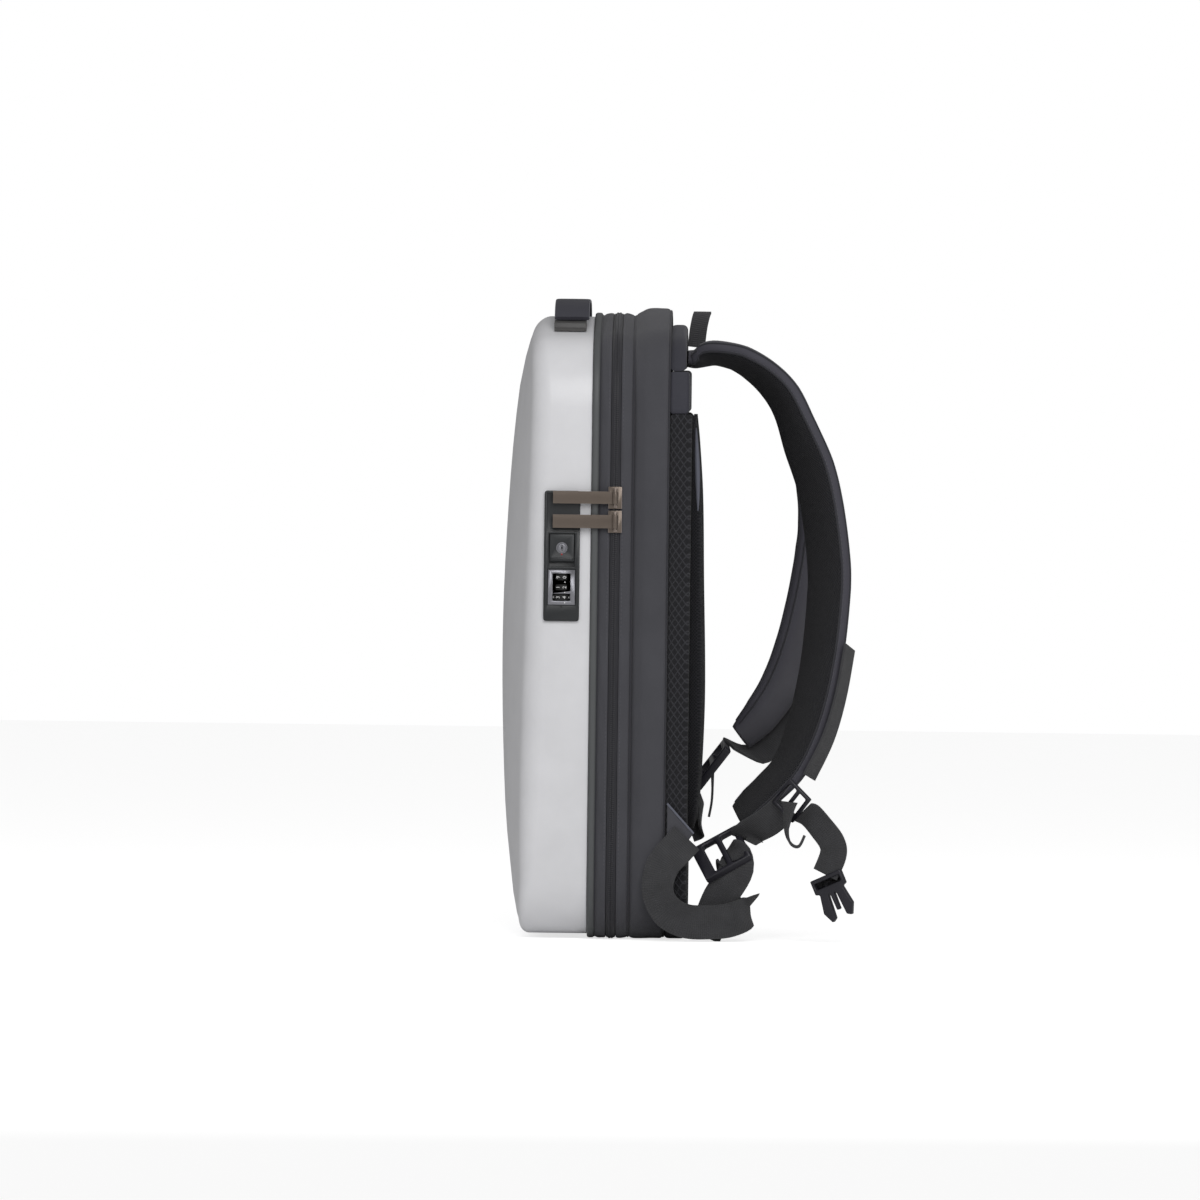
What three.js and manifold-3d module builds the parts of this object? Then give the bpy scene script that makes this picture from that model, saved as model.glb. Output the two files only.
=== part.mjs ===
// A backpack with a hard front shell, a cloth middle with a coil zipper, a padded back and padded straps.
// Millimetres. X runs to the wearer's right, Y from the shell to the shoulder straps, Z up.
// The origin is on the flat base, under the seam between the front and the rear cloth band.
import * as THREE from "three";
import { mergeVertices } from "three/addons/utils/BufferGeometryUtils.js";
import Module from "manifold-3d";

const wasm = await Module();
wasm.setup();

const packHeight = 460;
const packWidth = 305;
const crownRadius = 430;
const topCorner = 57;
const bottomCorner = 45;
const clothWall = 2;
const seat = 0.3;

const shellDepth = 65.5;
const shellWall = 3;
const shellInset = 3;
const edgeRound = 13;
const frontSink = 3.7;
const frameDepth = 5.2;
const frameWidth = 6;
const frontBand = 8;
const zipBand = 7;
const middleBand = 8.6;
const rearBand = 25.4;
const backThick = 16.8;
const meshTop = packHeight - 77;
const panelTop = packHeight - 46;
const yokeThick = 12;
const padThick = 10.6;
const padWide = 78;
const padFloor = 80;
const padTall = meshTop - padFloor - 1;
const padGap = 40;

const strapWide = 62;
const strapThick = 15;
const strapReach = 120;
const strapSpread = 125;
const webWide = 25;
const webThick = 1.8;
const chestWebWide = 20;
const wingThick = 3;

const lockLong = 38;
const lockWide = 33;
const lockThick = 6;
const lockBar = 4.5;

const plateWide = 26;
const plateTall = 95;
const plateThick = 2;
const plateCorner = 2.2;
const plateY = -60.9;
const plateZ = 279;
const caseWide = 20.4;
const caseDeep = 12.8;
const buttonWide = 17.9;
const buttonTall = 19.9;
const buttonTravel = 3.4;
const buttonZ = plateZ + 5.9;
const keyRadius = 3;
const keyRise = 0.2;
const keySunk = 1;
const bezelWide = 19.7;
const bezelTall = 25.5;
const bezelThick = 1.7;
const dialRadius = 7.6;
const dialThick = 4.5;
const dialPitch = 7.3;
const dialZ = plateZ - 22.8;
const dialSink = 5.4;
const axleRadius = 1.3;
const windowWide = 12.8;
const windowTall = 5.2;

const sliderLong = 10;
const sliderTall = 16;
const bailTall = 12.6;
const bailRadius = 0.75;
const pullLong = 41;
const pullThick = 2.2;
const pullUpperTall = 9;
const pullLowerTall = 9.7;
const pullUpperZ = 321.8;
const pullLowerZ = 304.4;

const handleWide = 25.5;
const handleThick = 3;
const handleSpan = 160;
const handleRise = 10;
const handleY = -56.3;
const baseLong = 22;
const grabWide = 12.4;
const grabSpan = 78;
const grabThick = 2;
const grabLean = 4.5;
const grabTop = 458;

// Stations along Y, from the shell's back edge to the seat of the straps.
const frameBack = -34.6;
const shellBack = frameBack - frameDepth - seat;
const frontBandBack = frameBack + seat + frontBand;
const zipBack = frontBandBack + seat + zipBand;
const middleBack = zipBack + seat + middleBand;
const rearBack = middleBack + seat + rearBand;
const backSeat = rearBack + seat + backThick;
const halfWidth = packWidth / 2;
const strapRoot = rearBack + 4 * seat;

const crownSteps = 4;
const cornerSteps = 5;
const sideSteps = 6;
const bottomSteps = 3;

const looks = {
  shell: [0xf0f0f2, 0.3, 0],
  frame: [0x565758, 0.5, 0],
  cloth: [0x505054, 0.7, 0],
  mesh: [0x2d2d30, 0.9, 0],
  binding: [0x4b4a52, 0.7, 0],
  webbing: [0x3c3c3c, 0.8, 0],
  plastic: [0x302e38, 0.4, 0],
  lock: [0x303234, 0.35, 0.4],
  silver: [0x87878c, 0.3, 0.8],
  dial: [0x151515, 0.5, 0],
  pull: [0x766b62, 0.4, 0.7],
  handle: [0x42424a, 0.6, 0],
};

const pack = new THREE.Group();

function add(name, geometry, look, parent = pack) {
  const [color, roughness, metalness] = looks[look];
  const mesh = new THREE.Mesh(geometry, new THREE.MeshStandardMaterial({ color, roughness, metalness }));
  mesh.name = name;
  parent.add(mesh);
  return mesh;
}

// The outline seen from the front: crowned top, straight sides, flat bottom, moved in by inset.
function outline(inset, sink = 0, lift = inset) {
  const crownZ = packHeight - sink - crownRadius;
  const topX = halfWidth - topCorner;
  const topZ = crownZ + Math.sqrt((crownRadius - topCorner) ** 2 - topX ** 2);
  const lean = Math.atan2(topX, topZ - crownZ);
  const side = halfWidth - inset;
  const lowX = halfWidth - bottomCorner;
  const right = [];
  for (let i = 0; i <= crownSteps; i += 1) {
    const angle = (lean * i) / crownSteps;
    right.push([(crownRadius - inset) * Math.sin(angle), crownZ + (crownRadius - inset) * Math.cos(angle)]);
  }
  for (let i = 1; i <= cornerSteps; i += 1) {
    const angle = lean + ((Math.PI / 2 - lean) * i) / cornerSteps;
    right.push([topX + (topCorner - inset) * Math.sin(angle), topZ + (topCorner - inset) * Math.cos(angle)]);
  }
  for (let i = 1; i <= sideSteps; i += 1) {
    right.push([side, THREE.MathUtils.lerp(topZ, bottomCorner, i / sideSteps)]);
  }
  for (let i = 1; i <= cornerSteps; i += 1) {
    const angle = ((Math.PI / 2) * i) / cornerSteps;
    right.push([
      lowX + (bottomCorner - inset) * Math.cos(angle),
      bottomCorner - (bottomCorner - lift) * Math.sin(angle),
    ]);
  }
  for (let i = 1; i <= bottomSteps; i += 1) {
    right.push([lowX * (1 - i / bottomSteps), lift]);
  }
  const left = right.slice(1, -1).reverse().map(([x, z]) => [-x, z]);
  return right.concat(left);
}

function ringAt(points, y) {
  return points.map(([x, z]) => new THREE.Vector3(x, y, z));
}

function middleOf(ring) {
  return ring.reduce((sum, p) => sum.add(p), new THREE.Vector3()).divideScalar(ring.length);
}

// A closed body through rings of equal count: capped at both ends, or joined end to start.
function loft(rings, { joined = false, startTip = null, endTip = null } = {}) {
  const count = rings[0].length;
  const points = rings.flat().map((p) => p.clone());
  const faces = [];
  const last = joined ? rings.length : rings.length - 1;
  for (let i = 0; i < last; i += 1) {
    const here = i * count;
    const next = ((i + 1) % rings.length) * count;
    for (let j = 0; j < count; j += 1) {
      const k = (j + 1) % count;
      faces.push(here + j, here + k, next + k, here + j, next + k, next + j);
    }
  }
  if (!joined) {
    const startPoint = points.push(startTip ?? middleOf(rings[0])) - 1;
    const endPoint = points.push(endTip ?? middleOf(rings[rings.length - 1])) - 1;
    const lastRing = (rings.length - 1) * count;
    for (let j = 0; j < count; j += 1) {
      const k = (j + 1) % count;
      faces.push(startPoint, k, j, endPoint, lastRing + j, lastRing + k);
    }
  }
  return facedOut(points, faces);
}

function facedOut(points, faces) {
  const geometry = new THREE.BufferGeometry();
  let volume = 0;
  for (let i = 0; i < faces.length; i += 3) {
    const [a, b, c] = [points[faces[i]], points[faces[i + 1]], points[faces[i + 2]]];
    volume += a.dot(new THREE.Vector3().crossVectors(b, c));
  }
  const turned = volume < 0 ? faces.slice().reverse() : faces;
  geometry.setAttribute("position", new THREE.Float32BufferAttribute(points.flatMap((p) => p.toArray()), 3));
  geometry.setIndex(turned);
  return geometry;
}

// Value of one column of a table at a place between its rows, smoothed through them.
function tableAt(rows, key, place, column) {
  let i = 0;
  while (i < rows.length - 2 && place > rows[i + 1][key]) {
    i += 1;
  }
  const slope = (n) => {
    const a = rows[Math.max(n - 1, 0)];
    const b = rows[Math.min(n + 1, rows.length - 1)];
    return (b[column] - a[column]) / (b[key] - a[key]);
  };
  const span = rows[i + 1][key] - rows[i][key];
  const t = THREE.MathUtils.clamp((place - rows[i][key]) / span, 0, 1);
  const t2 = t * t;
  const t3 = t2 * t;
  return (
    (2 * t3 - 3 * t2 + 1) * rows[i][column] +
    (t3 - 2 * t2 + t) * span * slope(i) +
    (3 * t2 - 2 * t3) * rows[i + 1][column] +
    (t3 - t2) * span * slope(i + 1)
  );
}

function toManifold(geometry) {
  const bare = geometry.clone();
  bare.deleteAttribute("normal");
  bare.deleteAttribute("uv");
  const merged = mergeVertices(bare, 1e-4);
  const index = merged.index.array;
  return new wasm.Manifold(
    new wasm.Mesh({
      numProp: 3,
      vertProperties: new Float32Array(merged.attributes.position.array),
      triVerts: new Uint32Array(index),
    }),
  );
}

function fromManifold(solid) {
  const mesh = solid.getMesh();
  const geometry = new THREE.BufferGeometry();
  geometry.setAttribute("position", new THREE.Float32BufferAttribute(mesh.vertProperties, 3));
  geometry.setIndex(Array.from(mesh.triVerts));
  return geometry;
}

function block(x0, x1, y0, y1, z0, z1) {
  const geometry = new THREE.BoxGeometry(x1 - x0, y1 - y0, z1 - z0);
  geometry.translate((x0 + x1) / 2, (y0 + y1) / 2, (z0 + z1) / 2);
  return geometry;
}

// The shell: a tray whose face bulges. Shares of its height and depth, from the bottom up.
const shellRows = [
  { up: 0.0, middle: 0.68, side: 0.74, round: 0.35 },
  { up: 0.03, middle: 0.8, side: 0.742, round: 0.4 },
  { up: 0.08, middle: 0.86, side: 0.733, round: 0.7 },
  { up: 0.21, middle: 0.95, side: 0.722, round: 0.95 },
  { up: 0.47, middle: 1.0, side: 0.67, round: 1.0 },
  { up: 0.71, middle: 0.944, side: 0.636, round: 1.0 },
  { up: 0.89, middle: 0.835, side: 0.628, round: 0.95 },
  { up: 0.965, middle: 0.715, side: 0.625, round: 0.8 },
  { up: 1.0, middle: 0.61, side: 0.6, round: 0.6 },
];

function shellFace(x, z, sunk) {
  const low = shellInset;
  const up = THREE.MathUtils.clamp((z - low) / (packHeight - frontSink - shellInset - low), 0, 1);
  const middle = tableAt(shellRows, "up", up, "middle");
  const side = tableAt(shellRows, "up", up, "side");
  const across = Math.min(Math.abs(x) / halfWidth, 1);
  return shellBack - shellDepth * (side + (middle - side) * (1 - across * across)) + sunk;
}

function shellRings(wall, turns, scales) {
  const rim = outline(shellInset + wall, frontSink);
  const step = outline(shellInset + wall + 1, frontSink);
  const height = packHeight - frontSink - 2 * shellInset;
  const rings = [ringAt(rim, shellBack)];
  for (let i = 0; i <= turns; i += 1) {
    const angle = ((Math.PI / 2) * i) / turns;
    rings.push(
      rim.map(([x, z], n) => {
        const up = THREE.MathUtils.clamp((z - shellInset) / height, 0, 1);
        const round = Math.max(edgeRound * tableAt(shellRows, "up", up, "round") - wall, 1);
        const move = round * (1 - Math.cos(angle));
        const px = x + (step[n][0] - x) * move;
        const pz = z + (step[n][1] - z) * move;
        return new THREE.Vector3(px, shellFace(px, pz, wall) + round * (1 - Math.sin(angle)), pz);
      }),
    );
  }
  const edge = rings[rings.length - 1];
  const centre = middleOf(edge);
  for (const scale of scales) {
    rings.push(
      edge.map((p) => {
        const x = p.x * scale;
        const z = centre.z + (p.z - centre.z) * scale;
        return new THREE.Vector3(x, shellFace(x, z, wall), z);
      }),
    );
  }
  return { rings, tip: new THREE.Vector3(0, shellFace(0, centre.z, wall), centre.z) };
}

const plateX = halfWidth - shellInset + seat;
const plateFace = plateX + plateThick;

function addShell() {
  const outer = shellRings(0, 4, [0.86, 0.64, 0.42, 0.2]);
  const inner = shellRings(shellWall, 2, [0.7, 0.35]);
  const rings = outer.rings.slice().reverse().concat(inner.rings);
  const tray = toManifold(loft(rings, { startTip: outer.tip, endTip: inner.tip }));
  const margin = caseWide / 2 + seat;
  const hole = toManifold(
    block(
      plateX - caseDeep - shellWall,
      plateX + plateThick,
      plateY - margin,
      plateY + margin,
      plateZ - plateTall / 2 + plateWide / 8 - seat,
      plateZ + plateTall / 2 - plateWide / 8 + seat,
    ),
  );
  add("front_shell", fromManifold(tray.subtract(hole)), "shell");
}
addShell();

// A cloth or plastic band round the pack. Its section runs round the wall, out and back inside.
function band(name, look, sink, section) {
  const rings = section.map(({ y, inset, lift }) => ringAt(outline(inset, sink, lift), y));
  add(name, loft(rings, { joined: true }), look);
}

function clothBand(name, look, sink, from, to, rows) {
  const outer = rows.map(({ along, inset, lift }) => ({
    y: THREE.MathUtils.lerp(from, to, along),
    inset: inset * clothWall,
    lift: lift * clothWall,
  }));
  const inner = [rows[rows.length - 1], rows[0]].map(({ along, inset, lift }) => ({
    y: THREE.MathUtils.lerp(from, to, along),
    inset: (inset + 1) * clothWall,
    lift: (lift + 1) * clothWall,
  }));
  band(name, look, sink, outer.concat(inner));
}

band("shell_frame", "frame", frontSink, [
  { y: frameBack - frameDepth, inset: 1, lift: 1 },
  { y: frameBack - frameDepth + 1, inset: 0, lift: 0 },
  { y: frameBack - 1, inset: 0, lift: 0 },
  { y: frameBack, inset: 1, lift: 1 },
  { y: frameBack, inset: frameWidth, lift: frameWidth },
  { y: frameBack - frameDepth, inset: frameWidth, lift: frameWidth },
]);

const bandRows = {
  front: [
    { along: 0, inset: 1.3, lift: 0.5 },
    { along: 0.5, inset: 0.5, lift: 0 },
    { along: 1, inset: 0.1, lift: 0 },
  ],
  zip: [
    { along: 0, inset: 0.5, lift: 0.5 },
    { along: 0.2, inset: 0.1, lift: 0 },
    { along: 0.8, inset: 0.1, lift: 0 },
    { along: 1, inset: 0.5, lift: 0.5 },
  ],
  middle: [
    { along: 0, inset: 0.2, lift: 0 },
    { along: 0.5, inset: 0.5, lift: 0 },
    { along: 1, inset: 1.2, lift: 0.6 },
  ],
  rear: [
    { along: 0, inset: 2.4, lift: 0.6 },
    { along: 0.15, inset: 1.6, lift: 0 },
    { along: 0.34, inset: 0.4, lift: 0 },
    { along: 0.72, inset: 0, lift: 0 },
    { along: 0.94, inset: 0, lift: 0 },
    { along: 1, inset: 0.8, lift: 0.6 },
  ],
};
clothBand("front_gusset", "cloth", frontSink, frameBack + seat, frontBandBack, bandRows.front);
clothBand("zipper_band", "cloth", frontSink, frontBandBack + seat, zipBack, bandRows.zip);
clothBand("middle_gusset", "cloth", frontSink, zipBack + seat, middleBack, bandRows.middle);
clothBand("rear_gusset", "cloth", 0, middleBack + seat, rearBack, bandRows.rear);

// The part of the outline between two heights, as points in the XZ plane.
function slabPoints(inset, low, high) {
  const cut = (list, keep, level) => {
    const kept = [];
    list.forEach((p, i) => {
      const q = list[(i + 1) % list.length];
      if (keep(p)) {
        kept.push(p);
      }
      if (keep(p) !== keep(q)) {
        const t = (level - p[1]) / (q[1] - p[1]);
        kept.push([p[0] + (q[0] - p[0]) * t, level]);
      }
    });
    return kept;
  };
  const below = cut(outline(inset, 0, Math.min(inset, 0)), (p) => p[1] <= high, high);
  const between = cut(below, (p) => p[1] >= low, low);
  return between.filter((p, i) => {
    const q = between[(i + 1) % between.length];
    return Math.hypot(p[0] - q[0], p[1] - q[1]) > clothWall / 4;
  });
}

// A padded panel with rounded rims: the same outline drawn in a little at its front and back faces.
function panel(name, look, inset, low, high, front, thick, round) {
  const points = slabPoints(inset, low, high);
  const wide = Math.max(...points.map(([x]) => x));
  const floor = Math.min(...points.map(([, z]) => z));
  const top = Math.max(...points.map(([, z]) => z));
  const drawn = (share, y) =>
    points.map(([x, z]) => {
      const middle = (floor + top) / 2;
      const tall = (top - floor) / 2;
      return new THREE.Vector3(
        x * (1 - (share * round) / wide),
        y,
        middle + (z - middle) * (1 - (share * round) / tall),
      );
    });
  const rings = [
    drawn(1, front),
    drawn(0.3, front + 0.3 * round),
    drawn(0, front + round),
    drawn(0, front + thick - round),
    drawn(0.3, front + thick - 0.3 * round),
    drawn(1, front + thick),
  ];
  add(name, loft(rings), look);
}

const backFront = rearBack + seat;
const backInset = clothWall;
panel("back_mesh", "mesh", backInset, 0, meshTop, backFront, backThick, 4);
panel("upper_panel", "cloth", backInset, meshTop + seat, panelTop, backFront, backThick - clothWall, 3);
const yokeTop = packHeight - 6 * clothWall;
panel("yoke_pad", "cloth", 3 * clothWall, panelTop + seat, yokeTop, backFront, yokeThick, 5.5);

// The two raised pads on the back. Shares of the pad's height, width and thickness.
const padRows = [
  { up: 0, wide: 0.35, thick: 0.4 },
  { up: 0.03, wide: 0.7, thick: 0.64 },
  { up: 0.12, wide: 0.92, thick: 0.84 },
  { up: 0.32, wide: 1, thick: 1 },
  { up: 0.6, wide: 1, thick: 0.83 },
  { up: 0.8, wide: 1, thick: 0.7 },
  { up: 0.93, wide: 0.85, thick: 0.45 },
  { up: 1, wide: 0.4, thick: 0.25 },
];
const padSection = [
  { across: -0.5, deep: 0 },
  { across: -0.5, deep: 0.62 },
  { across: -0.42, deep: 0.93 },
  { across: -0.2, deep: 1 },
  { across: 0.2, deep: 1 },
  { across: 0.42, deep: 0.93 },
  { across: 0.5, deep: 0.62 },
  { across: 0.5, deep: 0 },
];

function backPad(side) {
  const centre = side * (padGap / 2 + padWide / 2 + padGap / 2);
  const rings = padRows.map(({ up, wide, thick }) =>
    padSection.map(
      ({ across, deep }) =>
        new THREE.Vector3(
          centre + side * across * padWide * wide,
          backSeat + seat + deep * padThick * thick,
          padFloor + up * padTall,
        ),
    ),
  );
  return loft(rings);
}
add("back_pad_right", backPad(1), "mesh");
add("back_pad_left", backPad(-1), "mesh");

// A place by its shares: sideways of the straps' spread, out of their reach, up of the pack's height.
function place(side, out, up) {
  return new THREE.Vector3(side * strapSpread, strapRoot + out * strapReach, up * packHeight);
}

// Rings of a strip along a line: stations give centre, direction across and the two shares of its size.
function stripRings(stations, section) {
  return stations.map(({ centre, across, wide, thick, face }, i) => {
    const before = stations[Math.max(i - 1, 0)].centre;
    const after = stations[Math.min(i + 1, stations.length - 1)].centre;
    const along = after.clone().sub(before).normalize();
    const out = face ?? new THREE.Vector3().crossVectors(across, along).normalize();
    return section.map(({ w, t }) =>
      centre
        .clone()
        .addScaledVector(across, w * wide)
        .addScaledVector(out, t * thick),
    );
  });
}

const flatSection = [
  { w: -0.5, t: -0.5 },
  { w: 0.5, t: -0.5 },
  { w: 0.5, t: 0.5 },
  { w: -0.5, t: 0.5 },
];
const softSection = [
  { w: -0.5, t: 0.15 },
  { w: -0.46, t: -0.34 },
  { w: -0.3, t: -0.5 },
  { w: 0.3, t: -0.5 },
  { w: 0.46, t: -0.34 },
  { w: 0.5, t: 0.15 },
  { w: 0.45, t: 0.42 },
  { w: 0.25, t: 0.5 },
  { w: -0.25, t: 0.5 },
  { w: -0.45, t: 0.42 },
];

// The shoulder straps, root first. Turn is the tilt of the face in degrees.
const strapRows = {
  right: [
    { side: 0.38, out: 0.095, up: 0.92, turn: 0, wide: 0.9, thick: 0.8 },
    { side: 0.38, out: 0.16, up: 0.92, turn: 0, wide: 0.95, thick: 0.9 },
    { side: 0.4, out: 0.24, up: 0.927, turn: 3, wide: 1, thick: 1 },
    { side: 0.43, out: 0.315, up: 0.928, turn: 6, wide: 1, thick: 1 },
    { side: 0.47, out: 0.461, up: 0.914, turn: 12, wide: 1, thick: 1 },
    { side: 0.51, out: 0.596, up: 0.888, turn: 15, wide: 1, thick: 1 },
    { side: 0.56, out: 0.708, up: 0.851, turn: 18, wide: 1, thick: 1 },
    { side: 0.62, out: 0.794, up: 0.796, turn: 22, wide: 1, thick: 1 },
    { side: 0.69, out: 0.887, up: 0.735, turn: 24, wide: 1, thick: 1 },
    { side: 0.76, out: 0.937, up: 0.675, turn: 24, wide: 1, thick: 1 },
    { side: 0.82, out: 0.972, up: 0.604, turn: 24, wide: 1, thick: 1 },
    { side: 0.87, out: 0.976, up: 0.55, turn: 24, wide: 1, thick: 1 },
    { side: 0.93, out: 0.948, up: 0.463, turn: 23, wide: 1, thick: 1 },
    { side: 0.98, out: 0.901, up: 0.391, turn: 22, wide: 1, thick: 1 },
    { side: 1, out: 0.838, up: 0.33, turn: 20, wide: 1, thick: 1 },
    { side: 1.02, out: 0.75, up: 0.277, turn: 18, wide: 0.95, thick: 1 },
    { side: 1.02, out: 0.63, up: 0.242, turn: 18, wide: 0.9, thick: 0.9 },
    { side: 1.02, out: 0.527, up: 0.217, turn: 20, wide: 0.8, thick: 0.75 },
    { side: 1.01, out: 0.44, up: 0.197, turn: 24, wide: 0.55, thick: 0.4 },
  ],
  left: [
    { side: -0.38, out: 0.095, up: 0.92, turn: 0, wide: 0.9, thick: 0.8 },
    { side: -0.38, out: 0.16, up: 0.92, turn: 0, wide: 0.95, thick: 0.9 },
    { side: -0.4, out: 0.24, up: 0.925, turn: 0, wide: 1, thick: 1 },
    { side: -0.43, out: 0.315, up: 0.923, turn: 0, wide: 1, thick: 1 },
    { side: -0.5, out: 0.461, up: 0.911, turn: -2, wide: 1, thick: 1 },
    { side: -0.6, out: 0.594, up: 0.885, turn: -4, wide: 1, thick: 1 },
    { side: -0.7, out: 0.704, up: 0.847, turn: -8, wide: 1, thick: 1 },
    { side: -0.82, out: 0.795, up: 0.794, turn: -14, wide: 1, thick: 1 },
    { side: -0.95, out: 0.868, up: 0.73, turn: -19, wide: 1, thick: 1 },
    { side: -1.03, out: 0.902, up: 0.677, turn: -22, wide: 1, thick: 1 },
    { side: -1.08, out: 0.906, up: 0.626, turn: -24, wide: 1, thick: 1 },
    { side: -1.1, out: 0.879, up: 0.569, turn: -24, wide: 1, thick: 1 },
    { side: -1.11, out: 0.836, up: 0.511, turn: -24, wide: 1, thick: 1 },
    { side: -1.1, out: 0.776, up: 0.451, turn: -24, wide: 1, thick: 1 },
    { side: -1.08, out: 0.687, up: 0.392, turn: -24, wide: 0.98, thick: 0.95 },
    { side: -1.05, out: 0.572, up: 0.345, turn: -24, wide: 0.92, thick: 0.85 },
    { side: -1.03, out: 0.448, up: 0.308, turn: -24, wide: 0.72, thick: 0.48 },
  ],
};

function strapStations(rows, web = null) {
  const centres = rows.map(({ side, out, up }) => place(side, out, up));
  centres[0].y = backFront + yokeThick + seat;
  return rows.map((row, i) => {
    const along = centres[Math.min(i + 1, rows.length - 1)].clone().sub(centres[Math.max(i - 1, 0)]).normalize();
    const level = new THREE.Vector3(1, 0, 0).addScaledVector(along, -along.x).normalize();
    const across = level.applyAxisAngle(along, THREE.MathUtils.degToRad(-row.turn));
    const out = new THREE.Vector3().crossVectors(across, along).normalize();
    const lift = web ? (strapThick * row.thick + webThick) / 2 + 3 * seat : 0;
    return {
      centre: centres[i].clone().addScaledVector(out, -lift),
      across,
      wide: web ?? strapWide * row.wide,
      thick: web ? webThick : strapThick * row.thick,
      face: out,
    };
  });
}

function addStrap(name, rows) {
  add(name, loft(stripRings(strapStations(rows), softSection)), "binding");
}
addStrap("strap_right", strapRows.right);
addStrap("strap_left", strapRows.left);

// Web stations at the outer edge of a strap, in a plane that is turned so far from the strap's face.
function edgeStations(rows, side, { tilt, shift }) {
  const turn = THREE.MathUtils.degToRad(tilt);
  return strapStations(rows).map(({ centre, across, face, wide, thick }) => {
    const normal = across
      .clone()
      .multiplyScalar(side * Math.sin(turn))
      .addScaledVector(face, Math.cos(turn));
    const level = across
      .clone()
      .multiplyScalar(Math.cos(turn))
      .addScaledVector(face, -side * Math.sin(turn));
    const touch = softSection
      .map(({ w, t }) => across.clone().multiplyScalar(w * wide).addScaledVector(face, t * thick))
      .reduce((best, point) => (point.dot(normal) > best.dot(normal) ? point : best));
    const centreLine = centre
      .clone()
      .add(touch)
      .addScaledVector(normal, webThick / 2 + 3 * seat)
      .addScaledVector(level, side * shift);
    return { centre: centreLine, across: level, wide: webWide, thick: webThick, normal };
  });
}
const railPlace = { tilt: 40, shift: 0 };
const boxPlace = { tilt: 80, shift: -7 };

// The wings: cloth triangles at the lower back that the webs are sewn to.
const wingCorners = [
  { out: 0.01, up: 0.217 },
  { out: 0.172, up: 0.17 },
  { out: 0.01, up: 0.111 },
];
const wingX = halfWidth - backInset + seat;
function wing(side) {
  const section = wingCorners.map(({ out, up }) => [strapRoot + out * strapReach, up * packHeight]);
  const rings = [wingX, wingX + wingThick].map((x) => section.map(([y, z]) => new THREE.Vector3(side * x, y, z)));
  return loft(rings);
}
add("wing_right", wing(1), "cloth");
add("wing_left", wing(-1), "cloth");

// A ladder lock: a plate with two slots, its length along one direction and its width along another.
function framedGroup(centre, along, across) {
  const x = along.clone().normalize();
  const z = new THREE.Vector3().crossVectors(x, across).normalize();
  const y = new THREE.Vector3().crossVectors(z, x);
  const group = new THREE.Group();
  group.quaternion.setFromRotationMatrix(new THREE.Matrix4().makeBasis(x, y, z));
  group.position.copy(centre);
  pack.add(group);
  return group;
}

function rectanglePath(path, x0, x1, y0, y1) {
  path.moveTo(x0, y0);
  path.lineTo(x1, y0);
  path.lineTo(x1, y1);
  path.lineTo(x0, y1);
  return path;
}

// A flat bar frame: a block with slots cut through it, each slot from x0 to x1 and y0 to y1.
function slotted(long, wide, thick, slots) {
  let solid = toManifold(block(-long / 2, long / 2, -wide / 2, wide / 2, -thick / 2, thick / 2));
  slots.forEach(([x0, x1, y0, y1]) => {
    solid = solid.subtract(toManifold(block(x0, x1, y0, y1, -thick, thick)));
  });
  return fromManifold(solid);
}

function plated(shape, thick) {
  const geometry = new THREE.ExtrudeGeometry(shape, { depth: thick, bevelEnabled: false, curveSegments: 4 });
  geometry.translate(0, 0, -thick / 2);
  return geometry;
}

function ladderLock() {
  const slot = (lockLong - 4 * lockBar) / 2;
  const half = lockLong / 2;
  const inner = webWide / 2 + 2 * seat;
  return slotted(lockLong, lockWide, lockThick, [
    [-half + 2 * lockBar, -half + 2 * lockBar + slot, -inner, inner],
    [half - lockBar - slot, half - lockBar, -inner, inner],
  ]);
}

const locks = {
  right: { side: 1.1, out: 0.345, up: 0.137, along: [0, 0.87, 0.49], across: [0.66, 0.45, -0.6] },
  left: { side: -1.1, out: 0.27, up: 0.262, along: [0.1, 0.6, 0.79], across: [0.9, 0, -0.2] },
};

function lockPlace({ side, out, up, along, across }) {
  const x = new THREE.Vector3(...along).normalize();
  const z = new THREE.Vector3().crossVectors(x, new THREE.Vector3(...across)).normalize();
  return { centre: place(side, out, up), x, y: new THREE.Vector3().crossVectors(z, x), z };
}

function addLock(name, lock) {
  const { centre, x, y } = lockPlace(lock);
  add(name, ladderLock(), "plastic", framedGroup(centre, x, y));
}
addLock("ladder_lock_right", locks.right);
addLock("ladder_lock_left", locks.left);

// A web station at a ladder lock, moved along it and off its face. Heading is 1 for a web that runs up the lock.
const faceGap = lockThick / 2 + webThick / 2 + seat;
function lockStation(lock, forward, off, heading = -1) {
  const { centre, x, y, z } = lockPlace(lock);
  return {
    centre: centre.clone().addScaledVector(x, forward).addScaledVector(z, off),
    across: y,
    wide: webWide,
    thick: webThick,
    face: z.clone().multiplyScalar(-heading),
  };
}

// The same station turned half round its line, where its across points against its neighbour's.
function turnedLike(station, neighbour) {
  if (!station || station.across.dot(neighbour.across) >= 0) {
    return station;
  }
  return { ...station, across: station.across.clone().negate(), face: station.face?.clone().negate() };
}

// The stitched web from the edge of a strap's end to its lock.
function addBoxWeb(name, rows, side, lock) {
  const stations = edgeStations(rows, side, boxPlace).slice(-3);
  const end = lockStation(lock, lockLong / 2 + 4 * seat, 0);
  stations.push(turnedLike({ ...end, face: undefined }, stations[2]));
  add(name, loft(stripRings(stations, flatSection)), "webbing");
}
addBoxWeb("box_web_right", strapRows.right, 1, locks.right);
addBoxWeb("box_web_left", strapRows.left, -1, locks.left);

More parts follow.
